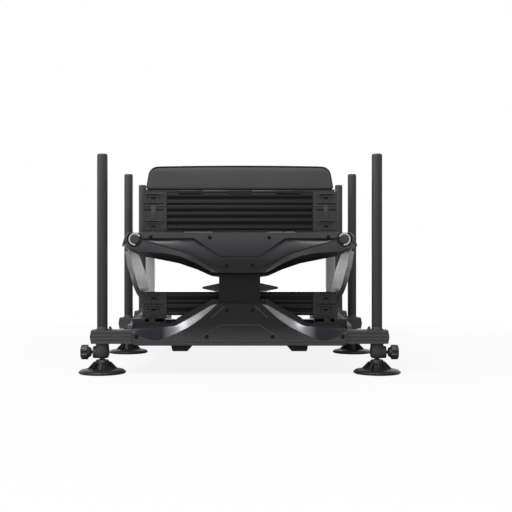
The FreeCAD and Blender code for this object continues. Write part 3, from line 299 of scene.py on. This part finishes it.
class Tree:
    """A shader tree, with one method that makes any of its nodes."""

    def __init__(self, node_tree):
        self.tree = node_tree

    def node(self, kind, settings, values, output=0):
        made = self.tree.nodes.new(kind)
        for name, value in settings.items():
            setattr(made, name, value)
        for name, value in values.items():
            self.put(made, name, value)
        return Socket(self, made.outputs[output])

    def put(self, made, name, value):
        if isinstance(value, Socket):
            self.tree.links.new(value.link, made.inputs[name])
        else:
            made.inputs[name].default_value = value

    def sum(self, operation, a, b):
        return self.node("ShaderNodeMath", {"operation": operation}, {0: a, 1: b})

    def highest(self, a, b):
        return self.sum("MAXIMUM", a, b)

    def size(self, value):
        return self.node("ShaderNodeMath", {"operation": "ABSOLUTE"}, {0: value})

    def place(self):
        return self.node("ShaderNodeTexCoord", {}, {}, "Object")

    def along(self, axis):
        return self.node("ShaderNodeSeparateXYZ", {}, {0: self.place()}, "XYZ".index(axis))

    def noise(self, scale, detail=2.0, stretch=(1, 1, 1)):
        where = self.node("ShaderNodeVectorMath", {"operation": "MULTIPLY"}, {0: self.place(), 1: stretch})
        return self.node("ShaderNodeTexNoise", {}, {"Vector": where, "Scale": scale, "Detail": detail})

    def cells(self, scale, feature="F1"):
        values = {"Vector": self.place(), "Scale": scale}
        return self.node("ShaderNodeTexVoronoi", {"feature": feature}, values)

    def step(self, value, low, high):
        """0 below low, 1 above high and even in between."""
        return self.node("ShaderNodeMapRange", {}, {"Value": value, "From Min": low, "From Max": high})

    def blend(self, factor, a, b):
        return self.node("ShaderNodeMix", {"data_type": "RGBA"}, {0: factor, 6: a, 7: b}, 2)

    def bump(self, relief, strength, deep=0.0002):
        values = {"Height": relief, "Strength": strength, "Distance": deep}
        return self.node("ShaderNodeBump", {}, values)

    def rays(self, kinds):
        """1 for rays of the given kinds."""
        total = self.node("ShaderNodeLightPath", {}, {}, kinds[0])
        for kind in kinds[1:]:
            total = self.highest(total, self.node("ShaderNodeLightPath", {}, {}, kind))
        return total


class Finish(Tree):
    """A material on one Principled shader, with its patterns placed in metres."""

    def __init__(self, name, constants):
        self.material = bpy.data.materials.new(name)
        self.material.use_nodes = True
        super().__init__(self.material.node_tree)
        self.shader = self.tree.nodes["Principled BSDF"]
        for socket, value in constants.items():
            self.shader.inputs[socket].default_value = value

    def feed(self, socket, value):
        self.put(self.shader, socket, value)
        return self


def moulded_plastic(name, level, rough, blue=0.03):
    """Moulded plastic with a fine spark-eroded grain, faint flow marks and rubbed patches."""
    f = Finish(name, {"IOR": 1.48})
    flow = f.noise(scale=14.0, detail=3.0)
    rubbed = f.noise(scale=60.0, detail=4.0)
    f.feed("Base Color", f.blend(flow, grey(level * 0.86, blue), grey(level * 1.14, blue)))
    f.feed("Roughness", rubbed * 0.16 + (rough - 0.08))
    return f.feed("Normal", f.bump(f.cells(scale=900.0), strength=0.25))


def anodised(name, level, rough, metallic=0.4, stretch=(1, 1, 0.04)):
    """Dark anodised tube or extrusion, with faint drawing lines along its length."""
    f = Finish(name, {"IOR": 1.5})
    drawn = f.noise(scale=300.0, stretch=stretch)
    cloud = f.noise(scale=9.0)
    dark = grey(level * 0.84, 0.02)
    pale = grey(level * 1.14, 0.03)
    f.feed("Base Color", f.blend(drawn * 0.5 + cloud * 0.5, dark, pale))
    f.feed("Metallic", metallic + cloud * 0.05)
    f.feed("Roughness", rough + drawn * 0.1)
    return f.feed("Normal", f.bump(drawn, strength=0.12))


def painted_casting(name, level, rough, blue):
    """Satin graphite paint over a moulding, with an orange-peel skin, and a painted reflection: paler at
    the top and foot, darker between.
    """
    f = Finish(name, {"IOR": 1.5})
    cloud = f.noise(scale=7.0)
    peel = f.noise(scale=420.0)
    rise = f.along("Z") + cloud * 0.006
    # Painted reflection: the base colour is paler at the top and foot and darker between them, by height.
    top = f.step(rise, low=0.268, high=0.326)
    foot = 1.0 - f.step(rise, low=0.078, high=0.118)
    dark = grey(level * 0.5, blue)
    pale = grey(level * 1.4, blue * 0.4)
    f.feed("Base Color", f.blend(f.highest(top, foot), dark, pale))
    f.feed("Roughness", rough + peel * 0.08)
    f.feed("Coat Weight", 0.25 + cloud * 0.1)
    return f.feed("Normal", f.bump(peel, strength=0.08))


def brushed_plate(name, level, rough):
    """Bright satin aluminium, brushed along its length, with painted shade: darker at the rear below its
    crease.
    """
    f = Finish(name, {})
    lines = f.noise(scale=700.0, detail=3.0, stretch=(1.0, 0.06, 0.3))
    cloud = f.noise(scale=12.0)
    slope = f.along("Z") + f.size(f.along("X")) * 0.6
    # Painted shade: below its crease and at the rear, the plate takes a darker grey instead of its bright
    # brushed colour.
    crease = f.step(slope + cloud * 0.01, low=0.365, high=0.395)
    front = f.step(f.along("Y"), low=0.03, high=0.05)
    bright = f.blend(lines * 0.5 + cloud * 0.5, grey(level * 0.93, 0.01), grey(level * 1.05, 0.015))
    f.feed("Base Color", f.blend(f.highest(crease, front), grey(level * 0.55, 0.02), bright))
    f.feed("Metallic", 0.2 + cloud * 0.1)
    f.feed("Roughness", rough + lines * 0.15)
    return f.feed("Normal", f.bump(lines, strength=0.1, deep=0.0001))


def gloss_cover(name, level):
    """Smooth glossy plastic with hairline scratches."""
    f = Finish(name, {"IOR": 1.55})
    hair = f.noise(scale=500.0, stretch=(1.0, 0.03, 1.0))
    f.feed("Base Color", f.blend(f.noise(scale=10.0), grey(level * 0.92), grey(level * 1.08)))
    f.feed("Roughness", 0.03 + hair * 0.05)
    return f.feed("Coat Weight", 0.8 + hair * 0.1)


def soft_rubber(name, level):
    """Matt rubber with dusty patches and a fine tooth."""
    f = Finish(name, {"IOR": 1.45})
    dust = f.noise(scale=80.0, detail=5.0)
    f.feed("Base Color", f.blend(dust, grey(level * 0.85), grey(level * 1.2)))
    f.feed("Roughness", 0.72 + dust * 0.16)
    return f.feed("Normal", f.bump(f.noise(scale=1200.0), strength=0.3))


def seat_vinyl(name, level):
    """Soft grained vinyl with creased cells and a slight sheen."""
    f = Finish(name, {"Sheen Weight": 0.25, "Sheen Roughness": 0.5, "IOR": 1.45})
    creases = f.step(f.cells(scale=620.0, feature="DISTANCE_TO_EDGE"), low=0.0, high=0.25)
    cloud = f.noise(scale=8.0, detail=3.0)
    f.feed("Base Color", f.blend(cloud, grey(level * 0.92, 0.02), grey(level * 1.08, 0.02)))
    f.feed("Roughness", 0.62 - creases * 0.08 + cloud * 0.06)
    return f.feed("Normal", f.bump(creases, strength=0.35, deep=0.0004))


def strip_painted_reflection(name):
    """Bevel of the lower beam, with a painted reflection: bright silver where it climbs, fading to
    blue-black at the beam's ends.
    """
    f = Finish(name, {"IOR": 1.5})
    out = f.size(f.along("X"))
    # Painted reflection: silver base colour where the bevel climbs, ending towards the beam's ends.
    dark = f.step(out + f.noise(scale=30.0) * 0.006, low=0.150, high=0.185)
    lines = f.noise(scale=900.0)
    bright = f.blend(lines, grey(160, 0.02), grey(188, 0.02))
    f.feed("Base Color", f.blend(dark, bright, grey(38, 0.25)))
    f.feed("Metallic", 0.5 - dark * 0.35)
    f.feed("Roughness", 0.34 + lines * 0.08)
    return f.feed("Normal", f.bump(lines, strength=0.06, deep=0.0001))


def make_finishes():
    """Every finish by name: those of the record's slots, and a few for the new pieces."""
    across = (0.04, 1, 1)
    return {
        "moulding": moulded_plastic("corner_moulding", level=66, rough=0.5),
        "foot_plastic": moulded_plastic("foot_plastic", level=34, rough=0.4, blue=0.0),
        "knob_plastic": moulded_plastic("knob_plastic", level=62, rough=0.32, blue=0.02),
        "leg_tube": anodised("leg_tube", level=86, rough=0.42),
        "dark_extrusion": anodised("ribbed_extrusion", level=94, rough=0.45, metallic=0.35, stretch=across),
        "frame_casting": painted_casting("graphite_beam_painted_reflection", level=54, rough=0.34, blue=0.12),
        "bright_plate": brushed_plate("bright_brace", level=240, rough=0.33),
        "pad_rubber": soft_rubber("rubber_pad", level=42),
        "dark_steel": anodised("black_steel", level=40, rough=0.3, metallic=0.6, stretch=(1, 1, 1)),
        "deck_plate": anodised("deck_plate", level=66, rough=0.5, metallic=0.35, stretch=across),
        "case_wall": moulded_plastic("case_wall", level=28, rough=0.5, blue=0.02),
        "drawer_plastic": moulded_plastic("drawer_plastic", level=36, rough=0.48, blue=0.02),
        "gloss_cover": gloss_cover("glossy_cover", level=46),
        "seat_cover": seat_vinyl("seat_vinyl", level=78),
        "strip": strip_painted_reflection("bevel_strip_painted_reflection"),
        # Pale plastic: painted highlight on the lower beam's edges.
        "painted_edge_highlight": moulded_plastic("painted_edge_highlight", level=112, rough=0.4),
        # Near-black plastic: painted shade on the recessed rear column.
        "column": moulded_plastic("column_painted_shade", level=11, rough=0.5, blue=0.1),
        # Lighter copy of the moulding: painted highlight on raised lines and beam edges.
        "line": moulded_plastic("raised_line_painted_highlight", level=78, rough=0.42),
        # Near-black rubber: painted shade in the corner blocks' slots, and the cushion's piping.
        "shade": soft_rubber("black_painted_shade", level=12),
    }


def share(value, start, end):
    """How far a value has come from start to end, from 0 to 1. The start may be the higher."""
    return min(max((value - start) / (end - start), 0), 1)


def height(table, x):
    """Height at a distance from the middle, between the points of a table."""
    for (x0, z0), (x1, z1) in zip(table[:-1], table[1:]):
        if x <= x1:
            return z0 + (z1 - z0) * (x - x0) / (x1 - x0)
    return table[-1][1]


def in_order(bm):
    """Sorts edges and faces by place, because extruding leaves them in another order each run."""
    for items in (bm.edges, bm.faces):
        ranked = sorted(items, key=lambda item: tuple(sum((v.co for v in item.verts), Vector())))
        for i, item in enumerate(ranked):
            item.index = i
        items.sort()


def loft(rings):
    """Closed skin through rings of points, with filled ends."""
    bm = bmesh.new()
    ring = [bm.verts.new(point) for point in rings[0]]
    edges = [bm.edges.new(pair) for pair in zip(ring, ring[1:] + ring[:1])]
    bm.faces.new(ring)
    for points in rings[1:]:
        made = bmesh.ops.extrude_edge_only(bm, edges=edges)["geom"]
        fresh = {v for v in made if isinstance(v, bmesh.types.BMVert)}
        ring = [next(e.other_vert(v) for e in v.link_edges if e.other_vert(v) in fresh) for v in ring]
        for v, point in zip(ring, points):
            v.co = point
        edges = [e for e in made if isinstance(e, bmesh.types.BMEdge)
                 and e.verts[0] in fresh and e.verts[1] in fresh]
    bm.faces.new(ring)
    in_order(bm)
    return bm


def box_shape(x, y, z, rounding=0.0):
    """Box between two values on each axis, with its edges rounded where asked."""
    (x0, x1), (y0, y1), (z0, z1) = x, y, z
    bm = bmesh.new()
    bmesh.ops.create_cube(bm, size=1.0)
    bmesh.ops.scale(bm, vec=(x1 - x0, y1 - y0, z1 - z0), verts=bm.verts)
    bmesh.ops.translate(bm, vec=((x0 + x1) / 2, (y0 + y1) / 2, (z0 + z1) / 2), verts=bm.verts)
    if rounding:
        bmesh.ops.bevel(bm, geom=bm.edges[:], offset=rounding, segments=2, affect="EDGES",
                        profile=0.5, material=-1)
    return bm


def rod_shape(x, y, z, radius, sides=24):
    """Round bar along Y, between two values of Y."""
    y0, y1 = y
    bm = bmesh.new()
    bmesh.ops.create_cone(bm, cap_ends=True, segments=sides, radius1=radius, radius2=radius,
                          depth=y1 - y0)
    bmesh.ops.rotate(bm, cent=(0, 0, 0), matrix=Matrix.Rotation(math.pi / 2, 3, "X"), verts=bm.verts)
    bmesh.ops.translate(bm, vec=(x, (y0 + y1) / 2, z), verts=bm.verts)
    return bm


def run_shape(run, width, deep, y_face):
    """Thin bar along a line (x, z, x, z) on a face that looks to the rear, as deep in it as proud."""
    x0, z0, x1, z1 = run
    half = width / 2
    length = math.hypot(x1 - x0, z1 - z0)
    bm = box_shape((-half, length + half), (y_face - deep, y_face + deep), (-half, half))
    turn = Matrix.Rotation(-math.atan2(z1 - z0, x1 - x0), 3, "Y")
    bmesh.ops.rotate(bm, cent=(0, 0, 0), matrix=turn, verts=bm.verts)
    bmesh.ops.translate(bm, vec=(x0, 0, z0), verts=bm.verts)
    return bm


def together(shapes):
    """One bmesh from several."""
    whole = bmesh.new()
    for shape in shapes:
        mesh = bpy.data.meshes.new("part")
        shape.to_mesh(mesh)
        shape.free()
        whole.from_mesh(mesh)
        bpy.data.meshes.remove(mesh)
    return whole


def both_sides(shapes):
    """Shapes on the right side as one bmesh, and its mirror image."""
    right = together(shapes)
    left = right.copy()
    bmesh.ops.scale(left, vec=(-1, 1, 1), verts=left.verts)
    bmesh.ops.reverse_faces(left, faces=left.faces)
    return [right, left]


def smooth_over(mesh, angle):
    """Smooth shading, except on edges sharper than the angle."""
    mesh.shade_smooth()
    mesh.set_sharp_from_angle(angle=math.radians(angle))


def piece(name, bm, coats, angle=HARD_ANGLE):
    """Makes an object of a bmesh in millimetres, in its place in metres, with a list of finishes."""
    bmesh.ops.recalc_face_normals(bm, faces=bm.faces)
    bmesh.ops.scale(bm, vec=(MM, MM, MM), verts=bm.verts)
    mesh = bpy.data.meshes.new(name)
    bm.to_mesh(mesh)
    bm.free()
    smooth_over(mesh, angle)
    made = bpy.data.objects.new(name, mesh)
    bpy.context.scene.collection.objects.link(made)
    for finish in coats:
        mesh.materials.append(finish.material)
    return made


def carve(target, cutters):
    """Cuts closed shapes, which may overlap one another, out of a piece."""
    tool = piece("cutter", together(cutters), [])
    change = target.modifiers.new("carve", "BOOLEAN")
    change.object = tool
    change.operation = "DIFFERENCE"
    change.solver = "EXACT"
    change.use_self = True
    settle(target)
    bpy.data.objects.remove(tool)


def settle(target):
    """Turns a piece's modifiers into its mesh."""
    view = bpy.context.evaluated_depsgraph_get()
    mesh = bpy.data.meshes.new_from_object(target.evaluated_get(view))
    target.modifiers.clear()
    target.data = mesh
    smooth_over(mesh, HARD_ANGLE)


def soften(target, width, segments=2):
    """Small rounding on the sharp edges, as a mould or a deburring leaves it."""
    change = target.modifiers.new("soft_edges", "BEVEL")
    change.width = width * MM
    change.segments = segments
    change.limit_method = "ANGLE"
    change.angle_limit = math.radians(BEVEL_ANGLE)
    change.harden_normals = True


def stations(distances):
    """Places along a beam from its left end to its right, from the distances on one side."""
    return [-x for x in reversed(distances) if x] + list(distances)


def section(x, profile):
    """Ring of points at one place along a beam, from a profile of (y, z)."""
    return [Vector((x, y, z)) for y, z in profile]


def upper_section(x):
    """Rear upper beam, round from its inner top edge: face, groove, wing, lip and underside."""
    out = abs(x)
    top = height(UPPER_TOP, out)
    groove = min(height(UPPER_GROOVE, out), top - GROOVE_ROOM)
    scoop = min(height(UPPER_SCOOP, out), groove - SCOOP_ROOM)
    band = min(height(UPPER_BAND, out), scoop - BAND_ROOM)
    under = min(height(UPPER_UNDER, out), band - UNDER_ROOM)
    wing = WING_DEEP * share(out, *WING_SETS_IN) * share(out, *WING_RUNS_OUT)
    lip = LIP * share(out, *LIP_SETS_IN)
    floor = wing + GROOVE_DEEP * share(out, *GROOVE_RUNS_OUT)
    profile = [
        (INNER_Y, top), (FACE_Y + TOP_EDGE[0], top), (FACE_Y, top - TOP_EDGE[1]),
        (FACE_Y, groove + MOUTH_HALF), (FACE_Y + floor, groove + FLOOR_HALF_H),
        (FACE_Y + floor, groove - FLOOR_HALF_H), (FACE_Y + wing, groove - MOUTH_HALF)]
    for t in SCOOP_SHARES:
        sweep = 1 - math.sin(math.pi / 2 * t)
        profile.append((FACE_Y + wing * sweep, groove - MOUTH_HALF + (scoop - groove + MOUTH_HALF) * t))
    profile += [
        (FACE_Y + lip, scoop), (FACE_Y - lip * LIP_TOP, band + LIP_H), (FACE_Y - lip * LIP_FOOT, band),
        (FACE_Y + UNDER_DEEP, under), (INNER_Y, under)]
    return section(x, profile)


def lower_section(x):
    """Rear lower beam, round from its inner top edge: rim, bevelled strip, face and skirting."""
    out = abs(x)
    rim = height(LOWER_RIM, out)
    strip_top = min(height(LOWER_STRIP_TOP, out), rim - STRIP_TOP_ROOM)
    strip_end = min(height(LOWER_STRIP_END, out), strip_top - STRIP_END_ROOM)
    foot = height(LOWER_FOOT, out)
    kept = 1 - STRIP_LOSS * share(out, *STRIP_EASES)
    depth = STRIP_SET_BACK * share(out, *STRIP_SETS_IN) * kept
    rim_depth = RIM_MIDDLE + (RIM_SET_BACK - RIM_MIDDLE) * share(out, *RIM_SETS_IN)
    profile = [
        (INNER_Y, rim), (FACE_Y + rim_depth + RIM_EDGE[0], rim), (FACE_Y + rim_depth, rim - RIM_EDGE[1]),
        (FACE_Y + rim_depth, strip_top + STRIP_STEP[1]), (FACE_Y + depth + STRIP_STEP[0], strip_top)]
    for t in STRIP_SHARES:
        profile.append((FACE_Y + depth * (1 - t), strip_top + (strip_end - strip_top) * t))
    profile.append((FACE_Y, strip_end))
    profile += [(FACE_Y + set_back, foot + rise) for set_back, rise in SKIRTING]
    profile.append((INNER_Y, foot))
    return section(x, profile)


def screw_holes(places):
    """Cutters for the holes in a rear beam that its screws sit in."""
    return [rod_shape(x, (FACE_Y - CUTTER_PROUD, FACE_Y + SCREW_DEEP), z, SCREW_R) for x, z in places]


def trim_pocket():
    """Cutter for the pocket of a round trim."""
    depth = (FACE_Y - CUTTER_PROUD, FACE_Y + TRIM_POCKET_DEEP)
    return rod_shape(TRIM_X, depth, TRIM_Z, TRIM_POCKET_R, sides=48)


def highlight_edges(edges, width):
    """Thin light bars, painted highlights on the edges of both sides."""
    return together(both_sides([run_shape(run, width, HIGHLIGHT_PROUD, y) for run, y in edges]))


def rear_shelf():
    """Shelf in front of the upper beam, round the openings for its catches."""
    full = (SHELF_REAR_Y, SHELF_FRONT_Y)
    return together(both_sides([
        box_shape((0, CATCH_X[0]), full, SHELF_Z),
        box_shape((CATCH_X[1], SHELF_HALF), full, SHELF_Z),
        box_shape(CATCH_X, (CATCH_Y[1], SHELF_FRONT_Y), SHELF_Z),
        box_shape(CATCH_X, (SHELF_REAR_Y, CATCH_Y[0]), SHELF_Z)]))


def rear_upper_beam(finishes):
    """Upper beam with the painted highlights on its edges, its shelf and the cores of its trims."""
    casting = [finishes["frame_casting"]]
    rings = [upper_section(x) for x in stations(UPPER_STATIONS)]
    beam = piece("rear_upper_beam_moulding", loft(rings), casting)
    carve(beam, both_sides(screw_holes(UPPER_SCREWS) + [trim_pocket()]))
    soften(beam, width=0.5)
    edges = piece("upper_beam_highlight_lines", highlight_edges(UPPER_EDGE_HIGHLIGHTS, UPPER_HIGHLIGHT_W), [finishes["line"]])
    shelf = piece("rear_shelf", rear_shelf(), casting)
    cores = both_sides([rod_shape(TRIM_X, TRIM_CORE_Y, TRIM_Z, TRIM_CORE_R, sides=40)])
    core = piece("trim_core", together(cores), casting)
    soften(core, width=1.5, segments=3)
    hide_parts("rear_upper_beam")
    for part in (beam, edges, shelf, core):
        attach(part, "chassis")


def mark_strip(bm):
    """Gives the faces of the bevelled strip the beam's second material, the one with the painted
    reflection.
    """
    inner, outer = STRIP_X
    for face in bm.faces:
        middle = face.calc_center_median()
        out = abs(middle.x)
        low = height(LOWER_STRIP_END, out) - STRIP_REACH
        high = height(LOWER_STRIP_TOP, out) + STRIP_REACH
        on_strip = inner < out < outer and low < middle.z < high and middle.y < STRIP_DEEPEST_Y
        if on_strip and len(face.verts) == 4:
            face.material_index = 1


def stack_stays():
    """Stays in front of the lower beam, round the openings for the lower catches."""
    full = (STAY_REAR_Y, SHELF_FRONT_Y)
    return together(both_sides([
        box_shape(STAY_WALL_X, (STAY_REAR_Y, INNER_Y), STAY_WALL_Z, STAY_ROUNDING),
        box_shape(STAY_INNER_X, full, STAY_Z, STAY_ROUNDING),
        box_shape(STAY_OUTER_X, full, STAY_Z, STAY_ROUNDING),
        box_shape(CATCH_X, (CATCH_Y[1], SHELF_FRONT_Y), STAY_Z)]))


def rear_lower_beam(finishes):
    """Lower beam with its bevelled strip, grooves, painted highlights on its edges and stays."""
    casting = finishes["frame_casting"]
    bm = loft([lower_section(x) for x in stations(LOWER_STATIONS)])
    mark_strip(bm)
    beam = piece("rear_lower_beam_moulding", bm, [casting, finishes["strip"]])
    grooves = [run_shape(run, width, width, FACE_Y) for run, width in LOWER_GROOVES]
    carve(beam, both_sides(screw_holes(LOWER_SCREWS) + grooves))
    soften(beam, width=0.4)
    stays = piece("lower_stack_stays", stack_stays(), [casting])
    edges = piece("lower_beam_highlight_lines", highlight_edges(LOWER_EDGE_HIGHLIGHTS, LOWER_HIGHLIGHT_W), [finishes["painted_edge_highlight"]])
    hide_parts("rear_lower_beam")
    for part in (beam, stays, edges):
        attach(part, "chassis")


def cushion_ring(y, top, half):
    """Section of the cushion across the seat: drawn-in sides, round shoulders and a low crown."""
    base = CUSHION_BASE_Z
    edge = CUSHION_BOTTOM_EDGE
    r = min(CUSHION_SHOULDER, (top - base) * SHOULDER_SHARE)
    points = [(0, base), (half * 0.5, base), (half - edge, base), (half, base + edge)]
    inner = half - CUSHION_DRAWN_IN
    for t in CUSHION_SHARES:
        points.append((half - CUSHION_DRAWN_IN * t, base + edge + (top - r - base - edge) * t))
    for degrees in SHOULDER_TURNS:
        turn = math.radians(degrees)
        points.append((inner - r + r * math.cos(turn), top - r + r * math.sin(turn)))
    for t in CUSHION_SHARES:
        points.append(((inner - r) * (1 - t), top + CUSHION_CROWN * math.sin(math.pi / 2 * t)))
    right = [Vector((x, y, z)) for x, z in points]
    left = [Vector((-x, y, z)) for x, z in reversed(points[1:-1])]
    return right + left


def tube_shape(path, radius, sides):
    """Closed round tube along a loop of points that lies across the seat."""
    along_y = Vector((0, 1, 0))
    turns = [2 * math.pi * i / sides for i in range(sides)]
    rings = []
    for before, here, after in zip(path[-1:] + path[:-1], path, path[1:] + path[:1]):
        run = (after - before).normalized()
        out = run.cross(along_y)
        rings.append([here + radius * (math.cos(a) * out + math.sin(a) * along_y) for a in turns])
    bm = loft(rings + rings[:1])
    caps = [face for face in bm.faces if len(face.verts) > 4]
    bmesh.ops.delete(bm, geom=caps, context="FACES_ONLY")
    bmesh.ops.remove_doubles(bm, verts=bm.verts, dist=PIPING_JOIN)
    return bm


def cushion_piping(finishes):
    """Piping round the rear face of the cushion."""
    ring = cushion_ring(PIPING_Y, PIPING_TOP_Z, PIPING_HALF)
    tube = tube_shape(ring, PIPING_R, PIPING_SIDES)
    piping = piece("seat_cushion_piping", tube, [finishes["shade"]], SOFT_ANGLE)
    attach(piping, "seat")


def seat_cushion(finishes):
    """Padded cushion, raised along the rear and low towards the front."""
    rings = [(CUSHION_REAR_Y + y, top, half) for y, top, half in CUSHION_FROM_REAR]
    rings += [(CUSHION_FRONT_Y - y, top, half) for y, top, half in CUSHION_FROM_FRONT]
    bm = loft([cushion_ring(*ring) for ring in rings])
    pad = piece("seat_cushion_pad", bm, [finishes["seat_cover"]], SOFT_ANGLE)
    smooth = pad.modifiers.new("round", "SUBSURF")
    smooth.levels = 2
    smooth.render_levels = 2
    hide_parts("seat_cushion")
    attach(pad, "seat")


def block_bars(proud, places):
    """Thin bars on the rear faces of the left and right corner blocks."""
    depth = (STACK_REAR_Y - proud, STACK_REAR_Y - SKIN_GAP)
    rounding = min(BAR_ROUNDING, proud / 3)
    return together(both_sides([
        box_shape((inner, outer), depth, (low, high), rounding) for inner, outer, low, high in places]))


def block_faces(finishes):
    """Raised lines of the corner blocks, lighter as a painted highlight, and near-black bars in their slots
    as painted shade.
    """
    for name, proud, places, body, finish in (
            ("upper_block_lines", LINE_PROUD, UPPER_BLOCK_LINES, "upper_stack", "line"),
            ("lower_block_lines", LINE_PROUD, LOWER_BLOCK_LINES, "chassis", "line"),
            ("upper_block_slot_shades", SHADE_PROUD, UPPER_SLOT_SHADES, "upper_stack", "shade"),
            ("lower_block_slot_shades", SHADE_PROUD, LOWER_SLOT_SHADES, "chassis", "shade")):
        bars = piece(name, block_bars(proud, places), [finishes[finish]])
        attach(bars, body)


def panel_shape(bands):
    """Ribbed rear panel of a stack: proud bands with open grooves between them."""
    depth = (STACK_REAR_Y - PANEL_PROUD, STACK_REAR_Y + PANEL_PROUD)
    return together([box_shape((-PANEL_HALF, PANEL_HALF), depth, band, PANEL_ROUNDING) for band in bands])


def rear_panels(finishes):
    """Ribbed panels of both stacks, and the plate under the upper case."""
    upper = piece("upper_panel_bands", panel_shape(UPPER_BANDS), [finishes["drawer_plastic"]])
    lower = piece("lower_panel_bands", panel_shape(LOWER_BANDS), [finishes["drawer_plastic"]])
    plate = box_shape((-PANEL_HALF, PANEL_HALF), UNDERSIDE_Y, UNDERSIDE_Z)
    underside = piece("case_underside", plate, [finishes["gloss_cover"]])
    for part, body, slot in (
            (upper, "upper_stack", "case_wall"),
            (lower, "chassis", "case_wall"),
            (underside, "upper_stack", "gloss_cover")):
        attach(part, body)


def dress_frame(finishes):
    """Gives every CAD node the finish of its slot, the rear column a near-black one as painted shade for
    its recess, and softens its edges.
    """
    slots = {entry["node"]: entry["material_slot"] for entry in frame["record"]["subparts"]}
    # Painted shade: the recessed rear column takes the near-black finish.
    slots["rear_column"] = "column"
    for name, node in frame["nodes"].items():
        node.data.materials.clear()
        node.data.materials.append(finishes[slots[name]].material)
        weld = node.modifiers.new("weld", "WELD")
        weld.merge_threshold = WELD_REACH
        soften(node, NODE_ROUNDING)


def light(name, place, aim, size, watts):
    """Rectangular lamp, turned to what it lights."""
    lamp = bpy.data.lights.new(name, "AREA")
    lamp.shape = "RECTANGLE"
    lamp.size, lamp.size_y = size
    lamp.energy = watts
    made = bpy.data.objects.new(name, lamp)
    bpy.context.scene.collection.objects.link(made)
    made.location = place
    made.rotation_euler = (Vector(aim) - Vector(place)).to_track_quat("-Z", "Y").to_euler()


def in_view(tree):
    """1 for what the camera sees, straight or through something clear."""
    return tree.rays(["Is Camera Ray", "Is Transmission Ray"])


def make_studio():
    """White surroundings, which the camera sees at full strength, and the lamps."""
    world = bpy.data.worlds.new("studio")
    bpy.context.scene.world = world
    world.use_nodes = True
    tree = Tree(world.node_tree)
    sky = world.node_tree.nodes["Background"]
    sky.inputs["Color"].default_value = (1, 1, 1, 1)
    tree.put(sky, "Strength", in_view(tree) * (1 - FILL) + FILL)
    for lamp in LAMPS:
        light(*lamp)


def make_floor():
    """Pale floor that glows white in view, less so near the object, where its shadow shows."""
    bm = bmesh.new()
    bmesh.ops.create_grid(bm, x_segments=1, y_segments=1, size=FLOOR_HALF)
    f = Finish("pale_floor", {"Roughness": 0.9})
    floor = piece("floor", bm, [f])
    in_sight = in_view(f)
    away = f.node("ShaderNodeVectorMath", {"operation": "LENGTH"}, {0: f.place()}, "Value")
    f.feed("Base Color", f.blend(in_sight, grey(150), grey(240)))
    glow = f.node("ShaderNodeEmission", {}, {"Color": (1, 1, 1, 1)})
    white = in_sight * (f.step(away, *FLOOR_RISE) * (1 - FLOOR_GLOW) + FLOOR_GLOW)
    mix = f.node("ShaderNodeMixShader", {}, {0: white, 1: Socket(f, f.shader.outputs[0]), 2: glow})
    f.put(f.tree.nodes["Material Output"], "Surface", mix)


def make_camera():
    """Level camera behind the box, at the photograph's place."""
    lens = bpy.data.cameras.new("camera")
    lens.lens = LENS
    lens.sensor_width = SENSOR
    lens.shift_x = SHIFT_RIGHT
    lens.shift_y = SHIFT_UP
    lens.clip_end = VIEW_END
    camera = bpy.data.objects.new("camera", lens)
    bpy.context.scene.collection.objects.link(camera)
    camera.location = [v * MM for v in EYE]
    camera.rotation_euler = (math.pi / 2, 0, 0)
    bpy.context.scene.camera = camera
    bpy.context.scene.view_settings.view_transform = "Standard"


make_camera()
finishes = make_finishes()
dress_frame(finishes)
rear_upper_beam(finishes)
rear_lower_beam(finishes)
block_faces(finishes)
rear_panels(finishes)
seat_cushion(finishes)
cushion_piping(finishes)
make_studio()
make_floor()
